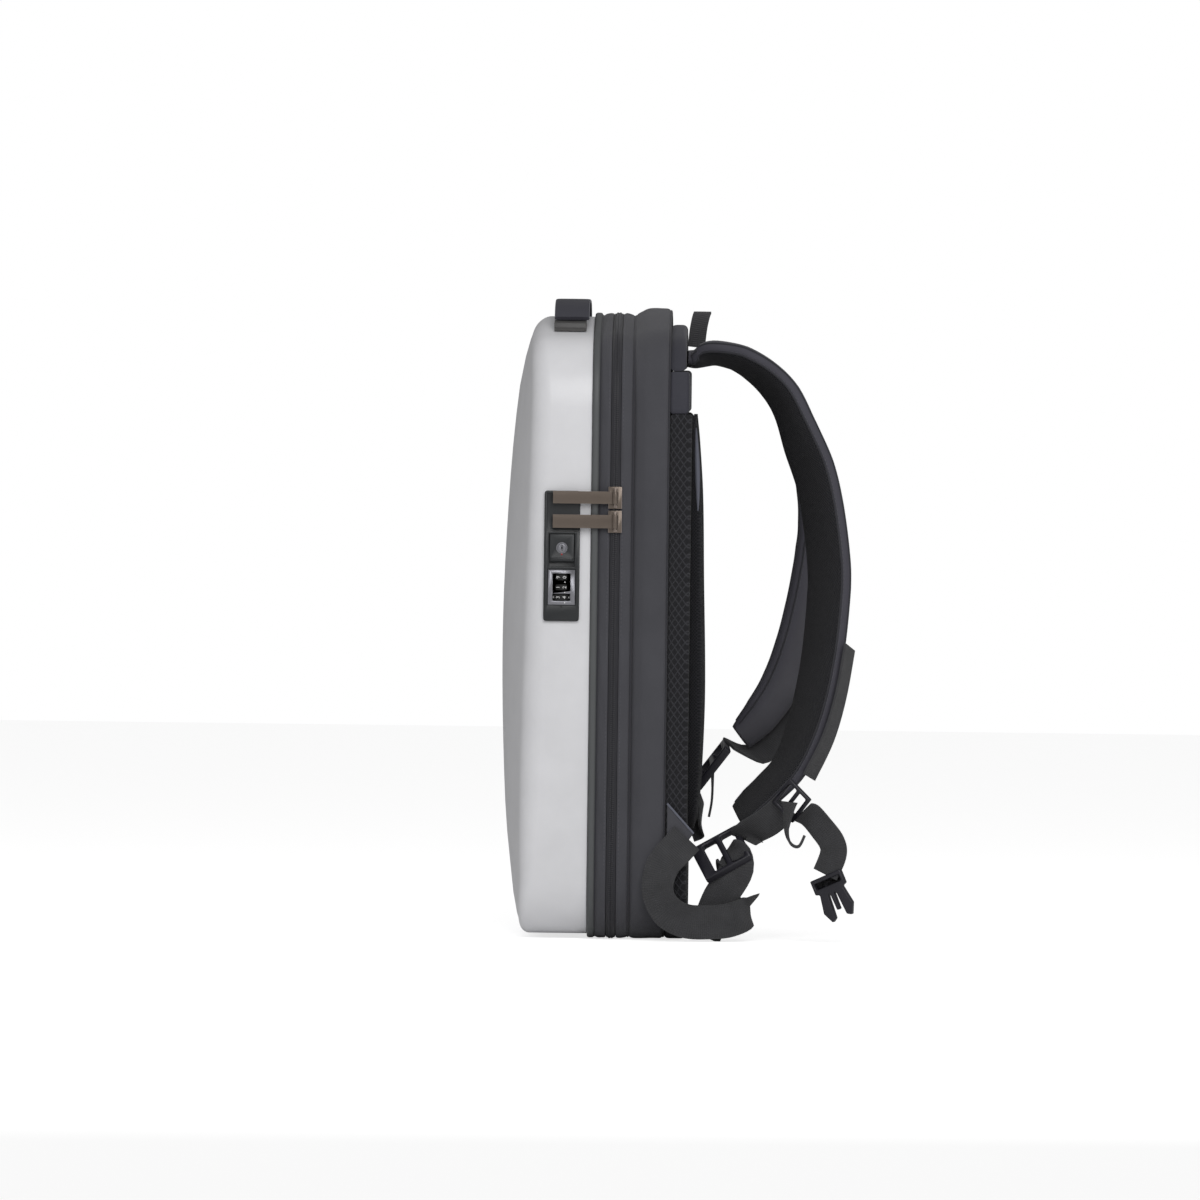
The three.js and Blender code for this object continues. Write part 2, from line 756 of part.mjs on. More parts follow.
// Free webs. Apart is the distance out from the pack's side in web widths, the rest are shares.
function looseWeb(name, rows, side, { start = null, end = null }) {
  const stations = rows.map(({ apart, out, up, w }) => ({
    centre: new THREE.Vector3(side * (halfWidth + apart * webWide), strapRoot + out * strapReach, up * packHeight),
    across: new THREE.Vector3(side * w[0], w[1], w[2]).normalize(),
    wide: webWide,
    thick: webThick,
  }));
  const first = turnedLike(start, stations[0]);
  const last = turnedLike(end, stations[stations.length - 1]);
  const all = [first, ...stations, last].filter(Boolean);
  add(name, loft(stripRings(all, flatSection)), "webbing");
}

const loadWebRight = [
  { apart: 0.105, out: 0.133, up: 0.163, w: [0, -0.7, 0.7] },
  { apart: 0.2, out: 0.07, up: 0.145, w: [-0.1, -0.6, 0.7] },
  { apart: 0.3, out: -0.005, up: 0.122, w: [-0.25, -0.8, 0.5] },
  { apart: 0.42, out: -0.04, up: 0.093, w: [-0.4, -0.9, 0.1] },
  { apart: 0.48, out: -0.03, up: 0.068, w: [-0.4, -0.85, -0.3] },
  { apart: 0.44, out: 0.03, up: 0.045, w: [-0.2, -0.5, -0.8] },
  { apart: 0.3, out: 0.13, up: 0.032, w: [-0.1, -0.15, -1] },
  { apart: 0.12, out: 0.25, up: 0.03, w: [0, 0, -1] },
  { apart: -0.05, out: 0.405, up: 0.034, w: [0, 0, -1] },
  { apart: -0.6, out: 0.515, up: 0.05, w: [0.1, 0, -1] },
  { apart: -0.8, out: 0.42, up: 0.078, w: [0.75, 0.62, -0.1] },
];
looseWeb("load_web_right", loadWebRight, 1, { end: lockStation(locks.right, -lockLong / 8, faceGap + seat) });

const tailWebRight = [
  { apart: -0.3, out: 0.436, up: 0.115, w: [0.05, 0.95, -0.3] },
  { apart: -0.42, out: 0.335, up: 0.068, w: [0.1, 1, -0.1] },
  { apart: -0.45, out: 0.285, up: 0.035, w: [0, 1, -0.1] },
  { apart: -0.45, out: 0.24, up: 0.006, w: [0, 1, -0.1] },
];
looseWeb("tail_web_right", tailWebRight, 1, { start: lockStation(locks.right, lockLong / 4, -faceGap - seat) });

const loadWebLeft = [
  { apart: -0.5, out: 0.18, up: 0.212, w: [-1, 0, -0.1] },
  { apart: -0.28, out: 0.195, up: 0.194, w: [-1, -0.1, -0.4] },
  { apart: -0.03, out: 0.205, up: 0.177, w: [-0.7, -0.1, -0.8] },
  { apart: 0.105, out: 0.175, up: 0.166, w: [-0.1, -0.1, -1] },
  { apart: 0.105, out: 0.13, up: 0.161, w: [0, -0.1, -1] },
];
looseWeb("load_web_left", loadWebLeft, -1, { start: lockStation(locks.left, -lockLong / 2 - 2 * seat, 0) });

const tailWebLeft = [
  { apart: -0.6, out: 0.275, up: 0.222, w: [1, 0, 0] },
  { apart: -0.6, out: 0.27, up: 0.2, w: [1, 0, 0] },
  { apart: -0.6, out: 0.255, up: 0.178, w: [1, 0, 0] },
];
looseWeb("tail_web_left", tailWebLeft, -1, { start: lockStation(locks.left, -lockLong / 8, faceGap) });

// The chest strap's half on the right strap, from its tri-glide down to the buckle.
function openWeb(name, rows, { start = null, end = null }) {
  const stations = rows.map(({ side, out, up, w }) => ({
    centre: place(side, out, up),
    across: new THREE.Vector3(...w).normalize(),
    wide: chestWebWide,
    thick: webThick,
  }));
  const all = [start, ...stations, end].filter(Boolean);
  add(name, loft(stripRings(all, flatSection)), "webbing");
}

function stationAt(part, forward, off) {
  const { centre, x, y, z } = lockPlace(part);
  return {
    centre: centre.clone().addScaledVector(x, forward).addScaledVector(z, off),
    across: y,
    wide: chestWebWide,
    thick: webThick,
  };
}

const glide = { side: 1.346, out: 0.765, up: 0.225, along: [0.2, 0.7, -0.7], across: [0.6, 0.5, 0.6] };
const glideLong = 22;
const glideWide = 27;
const glideBar = 3;
function triGlide() {
  const half = glideLong / 2;
  const inner = chestWebWide / 2 + 2 * seat;
  return slotted(glideLong, glideWide, glideBar, [
    [-half + glideBar, -glideBar / 2, -inner, inner],
    [glideBar / 2, half - glideBar, -inner, inner],
  ]);
}
const glidePlace = lockPlace(glide);
add("tri_glide", triGlide(), "plastic", framedGroup(glidePlace.centre, glidePlace.x, glidePlace.y));

const buckle = { side: 1.3, out: 0.976, up: 0.1075, along: [0.1, 0.39, -0.92], across: [0.35, 0.9, 0.3] };
openWeb(
  "sternum_web_right",
  [
    { side: 1.335, out: 0.88, up: 0.202, w: [0.4, 0.5, 0.7] },
    { side: 1.34, out: 0.945, up: 0.183, w: [0.35, 0.55, 0.65] },
    { side: 1.335, out: 1.01, up: 0.16, w: [0.3, 0.8, 0.45] },
    { side: 1.32, out: 1.02, up: 0.14, w: [0.3, 0.95, 0.2] },
  ],
  { start: stationAt(glide, glideLong / 2 + 3 * seat, 0), end: stationAt(buckle, -2 * seat, 0) },
);
openWeb(
  "web_tail_right",
  [
    { side: 1.37, out: 0.735, up: 0.18, w: [1, 0.1, 0] },
    { side: 1.37, out: 0.76, up: 0.158, w: [1, 0, 0] },
    { side: 1.37, out: 0.81, up: 0.153, w: [1, 0, 0] },
    { side: 1.37, out: 0.845, up: 0.17, w: [1, 0, 0] },
  ],
  { start: stationAt(glide, 0, (glideBar + webThick) / 2 + seat) },
);

// The slot of a buckle's web bar.
function buckleBar(inner) {
  return rectanglePath(new THREE.Path(), buckleSlot.from * buckleLong, buckleSlot.to * buckleLong, -inner, inner);
}

// The male half of the side release buckle: a bar for the web, two prongs and a tongue between them.
const buckleLong = 34;
const buckleWide = 25;
const buckleThick = 5;
const buckleEdge = [
  { along: 0.32, apart: 1 },
  { along: 0.35, apart: 0.76 },
  { along: 0.76, apart: 0.96 },
  { along: 1, apart: 0.64 },
  { along: 0.94, apart: 0.36 },
  { along: 0.44, apart: 0.26 },
  { along: 0.38, apart: 0.14 },
  { along: 0.79, apart: 0.1 },
];
const buckleSlot = { from: 0.094, to: 0.23 };
function maleBuckle() {
  const half = buckleWide / 2;
  const shape = new THREE.Shape();
  shape.moveTo(0, -half);
  buckleEdge.forEach(({ along, apart }) => shape.lineTo(along * buckleLong, -apart * half));
  const back = buckleEdge.slice().reverse();
  back.forEach(({ along, apart }) => shape.lineTo(along * buckleLong, apart * half));
  shape.lineTo(0, half);
  const inner = chestWebWide / 2 + seat;
  shape.holes.push(buckleBar(inner));
  return plated(shape, buckleThick);
}
// The web strip on the outer edge of each strap: on the right it ends at the tri-glide.
const railRight = edgeStations(strapRows.right, 1, railPlace).slice(12, 16);
add("rail_web_right", loft(stripRings(railRight, flatSection)), "webbing");
const railLeft = edgeStations(strapRows.left, -1, railPlace).slice(10, 13);
add("rail_web_left", loft(stripRings(railLeft, flatSection)), "webbing");

const bucklePlace = lockPlace(buckle);
add("male_buckle", maleBuckle(), "plastic", framedGroup(bucklePlace.centre, bucklePlace.x, bucklePlace.y));

// The chest strap's other half, on the left strap.
const otherBuckle = { side: -1.35, out: 0.995, up: 0.465, along: [0, -0.05, -1], across: [0.8, 0.3, 0] };
const hangStart = {
  ...railLeft[2],
  centre: railLeft[2].centre.clone().addScaledVector(railLeft[2].normal, webThick + seat),
  wide: chestWebWide,
};
openWeb(
  "sternum_web_left",
  [
    { side: -1.34, out: 1.005, up: 0.49, w: [0.8, 0.3, 0] },
    { side: -1.35, out: 1.0, up: 0.478, w: [0.8, 0.3, 0] },
  ],
  { start: hangStart, end: stationAt(otherBuckle, -2 * seat, 0) },
);
function femaleBuckle() {
  const half = buckleWide / 2;
  const inner = chestWebWide / 2 + seat;
  const shape = rectanglePath(new THREE.Shape(), 0, buckleLong, -half, half);
  shape.holes.push(buckleBar(inner));
  return plated(shape, buckleThick * 1.6);
}
const otherPlace = lockPlace(otherBuckle);
add("female_buckle", femaleBuckle(), "plastic", framedGroup(otherPlace.centre, otherPlace.x, otherPlace.y));

// The top handle: a band that arches over the shell between two bases.
const handleRows = [
  { across: 0.55, rise: -0.3 },
  { across: 0.5, rise: 0.2 },
  { across: 0.42, rise: 0.62 },
  { across: 0.3, rise: 0.88 },
  { across: 0.15, rise: 0.98 },
];
const shellTop = packHeight - frontSink - shellInset;
function crownAt(x) {
  return shellTop - (crownRadius - Math.sqrt(crownRadius ** 2 - x ** 2));
}
function handleStations() {
  const half = handleRows.map(({ across, rise }) => ({
    centre: new THREE.Vector3(across * handleSpan, handleY, shellTop + handleThick / 2 + rise * handleRise),
    across: new THREE.Vector3(0, 1, 0),
    wide: handleWide,
    thick: handleThick,
  }));
  const top = {
    centre: new THREE.Vector3(0, handleY, shellTop + handleThick / 2 + handleRise),
    across: new THREE.Vector3(0, 1, 0),
    wide: handleWide,
    thick: handleThick,
  };
  const mirrored = half
    .slice()
    .reverse()
    .map((s) => ({ ...s, centre: s.centre.clone().multiply(new THREE.Vector3(-1, 1, 1)) }));
  return half.concat([top], mirrored);
}
add("handle_band", loft(stripRings(handleStations(), flatSection)), "handle");

function addHandleBase(name, side) {
  const x = handleRows[0].across * handleSpan;
  const slope = Math.atan2(x, crownRadius);
  const group = new THREE.Group();
  group.position.set(side * x, handleY - 1, crownAt(x) + seat);
  group.rotation.y = side * slope;
  pack.add(group);
  const half = baseLong / 2;
  const top = shellTop + handleRows[0].rise * handleRise - crownAt(x) - 3 * seat;
  const shape = new THREE.Shape();
  shape.moveTo(-half, 0.3);
  shape.lineTo(half, 0.3);
  shape.lineTo(half, 1.2);
  shape.lineTo(half - 4, 2);
  shape.lineTo(half - 5, top);
  shape.lineTo(-half + 5, top);
  shape.lineTo(-half + 4, 2);
  shape.lineTo(-half, 1.2);
  const geometry = new THREE.ExtrudeGeometry(shape, { depth: handleWide - 2, bevelEnabled: false });
  geometry.rotateX(Math.PI / 2);
  geometry.translate(0, (handleWide - 2) / 2, 0);
  add(name, geometry, "handle", group);
}
addHandleBase("handle_base_right", 1);
addHandleBase("handle_base_left", -1);

// The grab loop: a web arch sewn above the roots of the straps.
const grabRows = [
  { across: 0.5, out: 0.0, rise: -1 },
  { across: 0.5, out: 0.3, rise: -0.5 },
  { across: 0.49, out: 0.6, rise: -0.2 },
  { across: 0.45, out: 0.85, rise: -0.04 },
  { across: 0.36, out: 0.95, rise: 0 },
  { across: 0, out: 1, rise: 0 },
];
function grabStations() {
  const footY = backFront + yokeThick + seat + grabWide / 2;
  const footZ = place(0, 0, strapRows.right[0].up).z + strapThick / 2 + grabThick;
  const drop = grabTop - footZ;
  const half = grabRows.map(({ across, out, rise }) => ({
    centre: new THREE.Vector3(across * grabSpan, footY + out * grabLean, grabTop - grabThick / 2 + rise * drop),
    across: new THREE.Vector3(0, 1, 0),
    wide: grabWide,
    thick: grabThick,
  }));
  const mirrored = half
    .slice(0, -1)
    .reverse()
    .map((s) => ({ ...s, centre: s.centre.clone().multiply(new THREE.Vector3(-1, 1, 1)) }));
  return half.concat(mirrored);
}
add("grab_loop", loft(stripRings(grabStations(), flatSection)), "webbing");

// The lock: a plate on the shell with a case behind it, three dials on an axle and a sliding button.
const dialX = plateFace - dialSink;
const caseX = plateX - caseDeep;
const pocketFloor = plateFace - plateThick - 1;
const pullPocketLow = buttonZ + buttonTall / 2 + 2;

function lockHousing() {
  const halfTall = plateTall / 2;
  const rounded = new THREE.Shape();
  const [w, h, r] = [plateWide / 2, halfTall, plateCorner];
  rounded.moveTo(-w + r, -h);
  rounded.lineTo(w - r, -h);
  rounded.quadraticCurveTo(w, -h, w, -h + r);
  rounded.lineTo(w, h - r);
  rounded.quadraticCurveTo(w, h, w - r, h);
  rounded.lineTo(-w + r, h);
  rounded.quadraticCurveTo(-w, h, -w, h - r);
  rounded.lineTo(-w, -h + r);
  rounded.quadraticCurveTo(-w, -h, -w + r, -h);
  const plate = new THREE.ExtrudeGeometry(rounded, { depth: plateThick, bevelEnabled: false, curveSegments: 3 });
  plate.rotateX(Math.PI / 2);
  plate.rotateZ(Math.PI / 2);
  plate.translate(plateX, plateY, plateZ);
  const caseHalf = halfTall - plateWide / 8 - seat;
  const body = block(caseX, plateX + 0.5, plateY - caseWide / 2, plateY + caseWide / 2, plateZ - caseHalf, plateZ + caseHalf);
  const buttonPocket = block(
    pocketFloor,
    plateFace + 1,
    plateY - buttonWide / 2 - seat,
    plateY + buttonWide / 2 + seat,
    buttonZ - buttonTall / 2 - buttonTravel - seat,
    buttonZ + buttonTall / 2 + seat,
  );
  const bezelPocket = block(
    plateFace - 1,
    plateFace + 1,
    plateY - bezelWide / 2 - seat,
    plateY + bezelWide / 2 + seat,
    dialZ - bezelTall / 2 - seat,
    dialZ + bezelTall / 2 + seat,
  );
  const dialPocket = block(
    caseX + 1,
    plateFace,
    plateY - dialRadius - 2 * seat,
    plateY + dialRadius + 2 * seat,
    dialZ - 1.5 * dialPitch - seat,
    dialZ + 1.5 * dialPitch + seat,
  );
  const pullPocket = block(
    plateFace - 0.8,
    plateFace + 1,
    plateY - plateWide / 2 + 2,
    plateY + plateWide / 2 + 1,
    pullPocketLow,
    plateZ + halfTall - 2,
  );
  const axle = new THREE.CylinderGeometry(axleRadius, axleRadius, 3 * dialPitch + 3, 12);
  axle.rotateX(Math.PI / 2);
  axle.translate(dialX, plateY, dialZ);
  let solid = toManifold(plate).add(toManifold(body));
  [buttonPocket, bezelPocket, dialPocket, pullPocket].forEach((pocket) => {
    solid = solid.subtract(toManifold(pocket));
  });
  return fromManifold(solid.add(toManifold(axle)));
}
add("lock_housing", lockHousing(), "lock");

function dialBezel() {
  const shape = rectanglePath(new THREE.Shape(), -bezelWide / 2, bezelWide / 2, -bezelTall / 2, bezelTall / 2);
  for (let i = -1; i <= 1; i += 1) {
    const middle = i * dialPitch;
    shape.holes.push(
      rectanglePath(
        new THREE.Path(),
        -windowWide / 2,
        windowWide / 2,
        middle - windowTall / 2,
        middle + windowTall / 2,
      ),
    );
  }
  const geometry = plated(shape, bezelThick);
  geometry.rotateX(Math.PI / 2);
  geometry.rotateZ(Math.PI / 2);
  geometry.translate(plateFace - 1 + seat + bezelThick / 2, plateY, dialZ);
  return geometry;
}
add("dial_bezel", dialBezel(), "silver");

const dialSides = 20;
function dial() {
  const half = dialThick / 2;
  const bore = axleRadius + seat;
  const geometry = new THREE.LatheGeometry(
    [
      new THREE.Vector2(bore, -half),
      new THREE.Vector2(dialRadius, -half),
      new THREE.Vector2(dialRadius, half),
      new THREE.Vector2(bore, half),
      new THREE.Vector2(bore, -half),
    ],
    dialSides,
  );
  geometry.rotateX(Math.PI / 2);
  return geometry;
}
for (let i = 0; i < 3; i += 1) {
  const mesh = add("dial_" + (i + 1), dial(), "dial");
  mesh.position.set(dialX, plateY, dialZ + (1 - i) * dialPitch);
}

function lockSlide() {
  const face = plateFace + 0.9;
  const plate = block(
    pocketFloor + seat,
    face,
    plateY - buttonWide / 2,
    plateY + buttonWide / 2,
    buttonZ - buttonTall / 2,
    buttonZ + buttonTall / 2,
  );
  const ridge = block(
    face - 0.2,
    face + 0.9,
    plateY - buttonWide / 2 + 1,
    plateY + buttonWide / 2 - 1,
    buttonZ - buttonTall / 2 + 0.4,
    buttonZ - buttonTall / 2 + 2.6,
  );
  const hole = new THREE.CylinderGeometry(keyRadius + seat, keyRadius + seat, 8, 20);
  hole.rotateZ(Math.PI / 2);
  hole.translate(face, plateY, buttonZ);
  return fromManifold(toManifold(plate).add(toManifold(ridge)).subtract(toManifold(hole)));
}
add("lock_slide", lockSlide(), "lock");

function keyCore() {
  const back = plateFace - keySunk;
  const long = plateFace + 0.9 + keyRise - back;
  const geometry = new THREE.CylinderGeometry(keyRadius, keyRadius, long, 20);
  geometry.rotateZ(Math.PI / 2);
  geometry.translate(back + long / 2, plateY, buttonZ);
  const slot = block(
    plateFace + 0.9 + keyRise - 1.2,
    plateFace + 3,
    plateY - 0.5,
    plateY + 0.5,
    buttonZ - keyRadius * 0.7,
    buttonZ + keyRadius * 0.7,
  );
  return fromManifold(toManifold(geometry).subtract(toManifold(slot)));
}
add("key_core", keyCore(), "silver");

// The zipper sliders, each with a bail that its pull swings on.
const zipMiddle = frontBandBack + seat + zipBand / 2;
const sliderX = halfWidth + 0.2 + seat;
const sliderThick = 1.3;
const bailX = sliderX + sliderThick + 2.6;
function slider() {
  const body = block(sliderX, sliderX + sliderThick, -sliderLong / 2, sliderLong / 2, -sliderTall / 2, sliderTall / 2);
  const bar = block(bailX - bailRadius, bailX + bailRadius, -bailRadius, bailRadius, -bailTall / 2, bailTall / 2);
  const leg = (z) =>
    block(sliderX + 0.5, bailX + bailRadius, -bailRadius, bailRadius, z - bailRadius, z + bailRadius);
  return fromManifold(
    toManifold(body)
      .add(toManifold(bar))
      .add(toManifold(leg(bailTall / 2)))
      .add(toManifold(leg(-bailTall / 2))),
  );
}

function pull(tall) {
  const bar = block(-pullThick / 2 - 1.2, pullThick / 2 - 1.2, -pullLong - 4.2, -1.2, -tall / 2, tall / 2);
  const hub = new THREE.CylinderGeometry(2.3, 2.3, tall, 12);
  hub.rotateX(Math.PI / 2);
  const bore = new THREE.CylinderGeometry(1.45, 1.45, tall + 2, 12);
  bore.rotateX(Math.PI / 2);
  return fromManifold(toManifold(bar).add(toManifold(hub)).subtract(toManifold(bore)));
}

function addPull(which, z, tall) {
  const runner = new THREE.Group();
  runner.position.set(0, zipMiddle, z);
  pack.add(runner);
  add("zipper_slider_" + which, slider(), "pull", runner);
  const mesh = add("zip_pull_" + which, pull(tall), "pull", runner);
  mesh.position.set(bailX, 0, 0);
}
addPull("upper", pullUpperZ, pullUpperTall);
addPull("lower", pullLowerZ, pullLowerTall);

export default pack;
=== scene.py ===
import bpy
import bmesh
import math
from mathutils import Matrix, Vector


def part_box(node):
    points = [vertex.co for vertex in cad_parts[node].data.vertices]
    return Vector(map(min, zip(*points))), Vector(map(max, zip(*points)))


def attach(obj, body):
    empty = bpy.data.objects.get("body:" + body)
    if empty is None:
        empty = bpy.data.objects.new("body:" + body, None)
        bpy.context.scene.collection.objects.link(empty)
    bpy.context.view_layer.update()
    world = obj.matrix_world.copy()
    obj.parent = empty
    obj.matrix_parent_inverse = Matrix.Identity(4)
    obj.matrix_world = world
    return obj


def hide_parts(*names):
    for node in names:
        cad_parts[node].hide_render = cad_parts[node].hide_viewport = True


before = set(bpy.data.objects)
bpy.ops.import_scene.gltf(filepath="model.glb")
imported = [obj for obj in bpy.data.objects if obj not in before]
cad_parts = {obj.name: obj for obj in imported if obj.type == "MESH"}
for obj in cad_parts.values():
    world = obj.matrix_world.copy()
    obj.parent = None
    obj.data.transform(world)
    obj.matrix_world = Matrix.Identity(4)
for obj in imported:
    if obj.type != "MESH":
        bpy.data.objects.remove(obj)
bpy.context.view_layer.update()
mm = 0.001
print("frame loaded")

# The pack's outline, which the cloth bands, the frame and the shell all follow
pack = {
    "height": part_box("rear_gusset")[1][2],
    "half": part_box("rear_gusset")[1][0],
    "crownRadius": 430 * mm,
    "topCorner": 57 * mm,
    "bottomCorner": 45 * mm,
    "frontSink": 3.7 * mm,   # the front bands are this much lower than the rear one
    "steps": {"crown": 20, "corner": 14, "side": 46, "low": 12, "bottom": 16},
}


def outline(inset, sink=0.0, lift=None):
    lift = inset if lift is None else lift
    half = pack["half"]
    crownZ = pack["height"] - sink - pack["crownRadius"]
    topX = half - pack["topCorner"]
    topZ = crownZ + math.sqrt((pack["crownRadius"] - pack["topCorner"]) ** 2 - topX ** 2)
    lean = math.atan2(topX, topZ - crownZ)
    lowX = half - pack["bottomCorner"]
    steps = pack["steps"]
    right = []
    for i in range(steps["crown"] + 1):
        a = lean * i / steps["crown"]
        r = pack["crownRadius"] - inset
        right.append((r * math.sin(a), crownZ + r * math.cos(a)))
    for i in range(1, steps["corner"] + 1):
        a = lean + (math.pi / 2 - lean) * i / steps["corner"]
        r = pack["topCorner"] - inset
        right.append((topX + r * math.sin(a), topZ + r * math.cos(a)))
    for i in range(1, steps["side"] + 1):
        t = i / steps["side"]
        right.append((half - inset, topZ + (pack["bottomCorner"] - topZ) * t))
    for i in range(1, steps["low"] + 1):
        a = math.pi / 2 * i / steps["low"]
        x = lowX + (pack["bottomCorner"] - inset) * math.cos(a)
        right.append((x, pack["bottomCorner"] - (pack["bottomCorner"] - lift) * math.sin(a)))
    for i in range(1, steps["bottom"] + 1):
        right.append((lowX * (1 - i / steps["bottom"]), lift))
    return right + [(-x, z) for x, z in reversed(right[1:-1])]


def tableAt(rows, key, place, column):
    i = 0
    while i < len(rows) - 2 and place > rows[i + 1][key]:
        i += 1

    def slope(n):
        a = rows[max(n - 1, 0)]
        b = rows[min(n + 1, len(rows) - 1)]
        return (b[column] - a[column]) / (b[key] - a[key])

    span = rows[i + 1][key] - rows[i][key]
    t = min(max((place - rows[i][key]) / span, 0), 1)
    t2, t3 = t * t, t ** 3
    return (
        (2 * t3 - 3 * t2 + 1) * rows[i][column]
        + (t3 - 2 * t2 + t) * span * slope(i)
        + (3 * t2 - 2 * t3) * rows[i + 1][column]
        + (t3 - t2) * span * slope(i + 1)
    )


# Rings of equal count joined into one skin, with a UV map in metres: across the ring, then along
def loft(rings, joined=False, tips=(None, None), caps=True):
    count = len(rings[0])
    verts = [Vector(p) for ring in rings for p in ring]
    faces = []
    uvs = []
    around = [0.0]
    for j in range(count):
        around.append(around[-1] + (Vector(rings[0][j]) - Vector(rings[0][(j + 1) % count])).length)
    middle = max(range(len(rings)), key=lambda i: (Vector(rings[i][0]) - Vector(rings[i][count // 2])).length)
    around = [0.0]
    for j in range(count):
        p, q = Vector(rings[middle][j]), Vector(rings[middle][(j + 1) % count])
        around.append(around[-1] + (p - q).length)
    along = [0.0]
    total = len(rings) if joined else len(rings) - 1
    for i in range(total):
        a, b = rings[i], rings[(i + 1) % len(rings)]
        step = sum((Vector(p) - Vector(q)).length for p, q in zip(a, b)) / count
        along.append(along[-1] + step)
    for i in range(total):
        here, there = i * count, ((i + 1) % len(rings)) * count
        for j in range(count):
            k = (j + 1) % count
            faces.append((here + j, here + k, there + k, there + j))
            u0, u1 = around[j], around[j + 1]
            uvs.append(((u0, along[i]), (u1, along[i]), (u1, along[i + 1]), (u0, along[i + 1])))
    if not joined and caps:
        ends = ((0, tips[0], 0.0, True), ((len(rings) - 1) * count, tips[1], along[-1], False))
        for start, tip, v, turned in ends:
            ring = rings[0] if turned else rings[-1]
            centre = Vector(tip) if tip else sum((Vector(p) for p in ring), Vector()) / count
            verts.append(centre)
            apex = len(verts) - 1
            for j in range(count):
                k = (j + 1) % count
                corners = (apex, start + k, start + j) if turned else (apex, start + j, start + k)
                faces.append(corners)
                uvs.append(tuple((0.0, v) for _ in corners))
    return verts, faces, uvs


def signedVolume(verts, faces):
    total = 0.0
    for face in faces:
        for i in range(1, len(face) - 1):
            total += verts[face[0]].dot(verts[face[i]].cross(verts[face[i + 1]]))
    return total


def makePiece(name, shape, materials, body="pack", replaced=(), sharp=40, pick=None):
    verts, faces, uvs = shape
    if signedVolume(verts, faces) < 0:
        faces = [tuple(reversed(f)) for f in faces]
        uvs = [tuple(reversed(uv)) for uv in uvs]
    mesh = bpy.data.meshes.new(name)
    mesh.from_pydata([tuple(v) for v in verts], [], faces)
    layer = mesh.uv_layers.new(name="UVMap")
    for polygon, corners in zip(mesh.polygons, uvs):
        for loop, uv in zip(polygon.loop_indices, corners):
            layer.data[loop].uv = uv
    materials = materials if isinstance(materials, (list, tuple)) else [materials]
    for material in materials:
        mesh.materials.append(material)
    if pick:
        for polygon in mesh.polygons:
            polygon.material_index = pick(polygon)
    mesh.shade_smooth()
    mesh.set_sharp_from_angle(angle=math.radians(sharp))
    piece = bpy.data.objects.new(name, mesh)
    bpy.context.scene.collection.objects.link(piece)
    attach(piece, body)
    if replaced:
        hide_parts(*replaced)
    return piece


# Small builder of material nodes
class Maker:
    def __init__(self, name, rgb, rough, metal=0.0, spec=0.5):
        self.material = bpy.data.materials.new(name)
        self.material.use_nodes = True
        self.tree = self.material.node_tree
        self.shader = self.tree.nodes["Principled BSDF"]
        self.rgb = tuple((c / 255) ** 2.2 for c in rgb)
        self.set("Base Color", (*self.rgb, 1))
        self.set("Roughness", rough)
        self.set("Metallic", metal)
        self.set("Specular IOR Level", spec)
        self.rough = rough

    def set(self, socket, value):
        self.shader.inputs[socket].default_value = value

    def node(self, kind, **values):
        made = self.tree.nodes.new("ShaderNode" + kind)
        for key, value in values.items():
            if key in made.inputs:
                made.inputs[key].default_value = value
            else:
                setattr(made, key, value)
        return made

    def join(self, source, target):
        self.tree.links.new(source, target)

    def math(self, operation, a, b=0.0):
        made = self.tree.nodes.new("ShaderNodeMath")
        made.operation = operation
        for socket, value in zip(made.inputs, (a, b)):
            if isinstance(value, (int, float)):
                socket.default_value = value
            else:
                self.join(value, socket)
        return made.outputs[0]

    def coords(self, kind="Object"):
        return self.tree.nodes.new("ShaderNodeTexCoord").outputs[kind]

    def split(self, vector):
        made = self.tree.nodes.new("ShaderNodeSeparateXYZ")
        self.join(vector, made.inputs[0])
        return made.outputs

    def noise(self, scale, detail=3.0, vector=None):
        made = self.tree.nodes.new("ShaderNodeTexNoise")
        made.inputs["Scale"].default_value = scale
        made.inputs["Detail"].default_value = detail
        self.join(vector or self.coords(), made.inputs["Vector"])
        return made.outputs["Fac"]

    def wave(self, value, period):
        return self.math("SINE", self.math("MULTIPLY", value, 2 * math.pi / period))

    def tint(self, fac, low, high):
        ramp = self.tree.nodes.new("ShaderNodeMix")
        ramp.data_type = "RGBA"
        self.join(fac, ramp.inputs["Factor"])
        ramp.inputs["A"].default_value = (*[c * low for c in self.rgb], 1)
        ramp.inputs["B"].default_value = (*[min(c * high, 1) for c in self.rgb], 1)
        self.join(ramp.outputs["Result"], self.shader.inputs["Base Color"])
        return ramp

    def roughFrom(self, fac, spread):
        low = self.math("MULTIPLY", fac, spread)
        self.join(self.math("ADD", low, self.rough - spread / 2), self.shader.inputs["Roughness"])

    def bump(self, height, distance, strength=1.0, after=None):
        made = self.tree.nodes.new("ShaderNodeBump")
        made.inputs["Strength"].default_value = strength
        made.inputs["Distance"].default_value = distance
        self.join(height, made.inputs["Height"])
        if after:
            self.join(after, made.inputs["Normal"])
        self.join(made.outputs["Normal"], self.shader.inputs["Normal"])
        return made.outputs["Normal"]


def plasticMaterial(name, rgb, rough, grain=900, depth=0.02, metal=0.0, spec=0.5):
    m = Maker(name, rgb, rough, metal, spec)
    m.tint(m.noise(35, 4), 0.93, 1.07)
    fine = m.noise(grain, 2)
    m.roughFrom(m.noise(120, 3), 0.12)
    m.bump(fine, depth * mm)
    return m.material


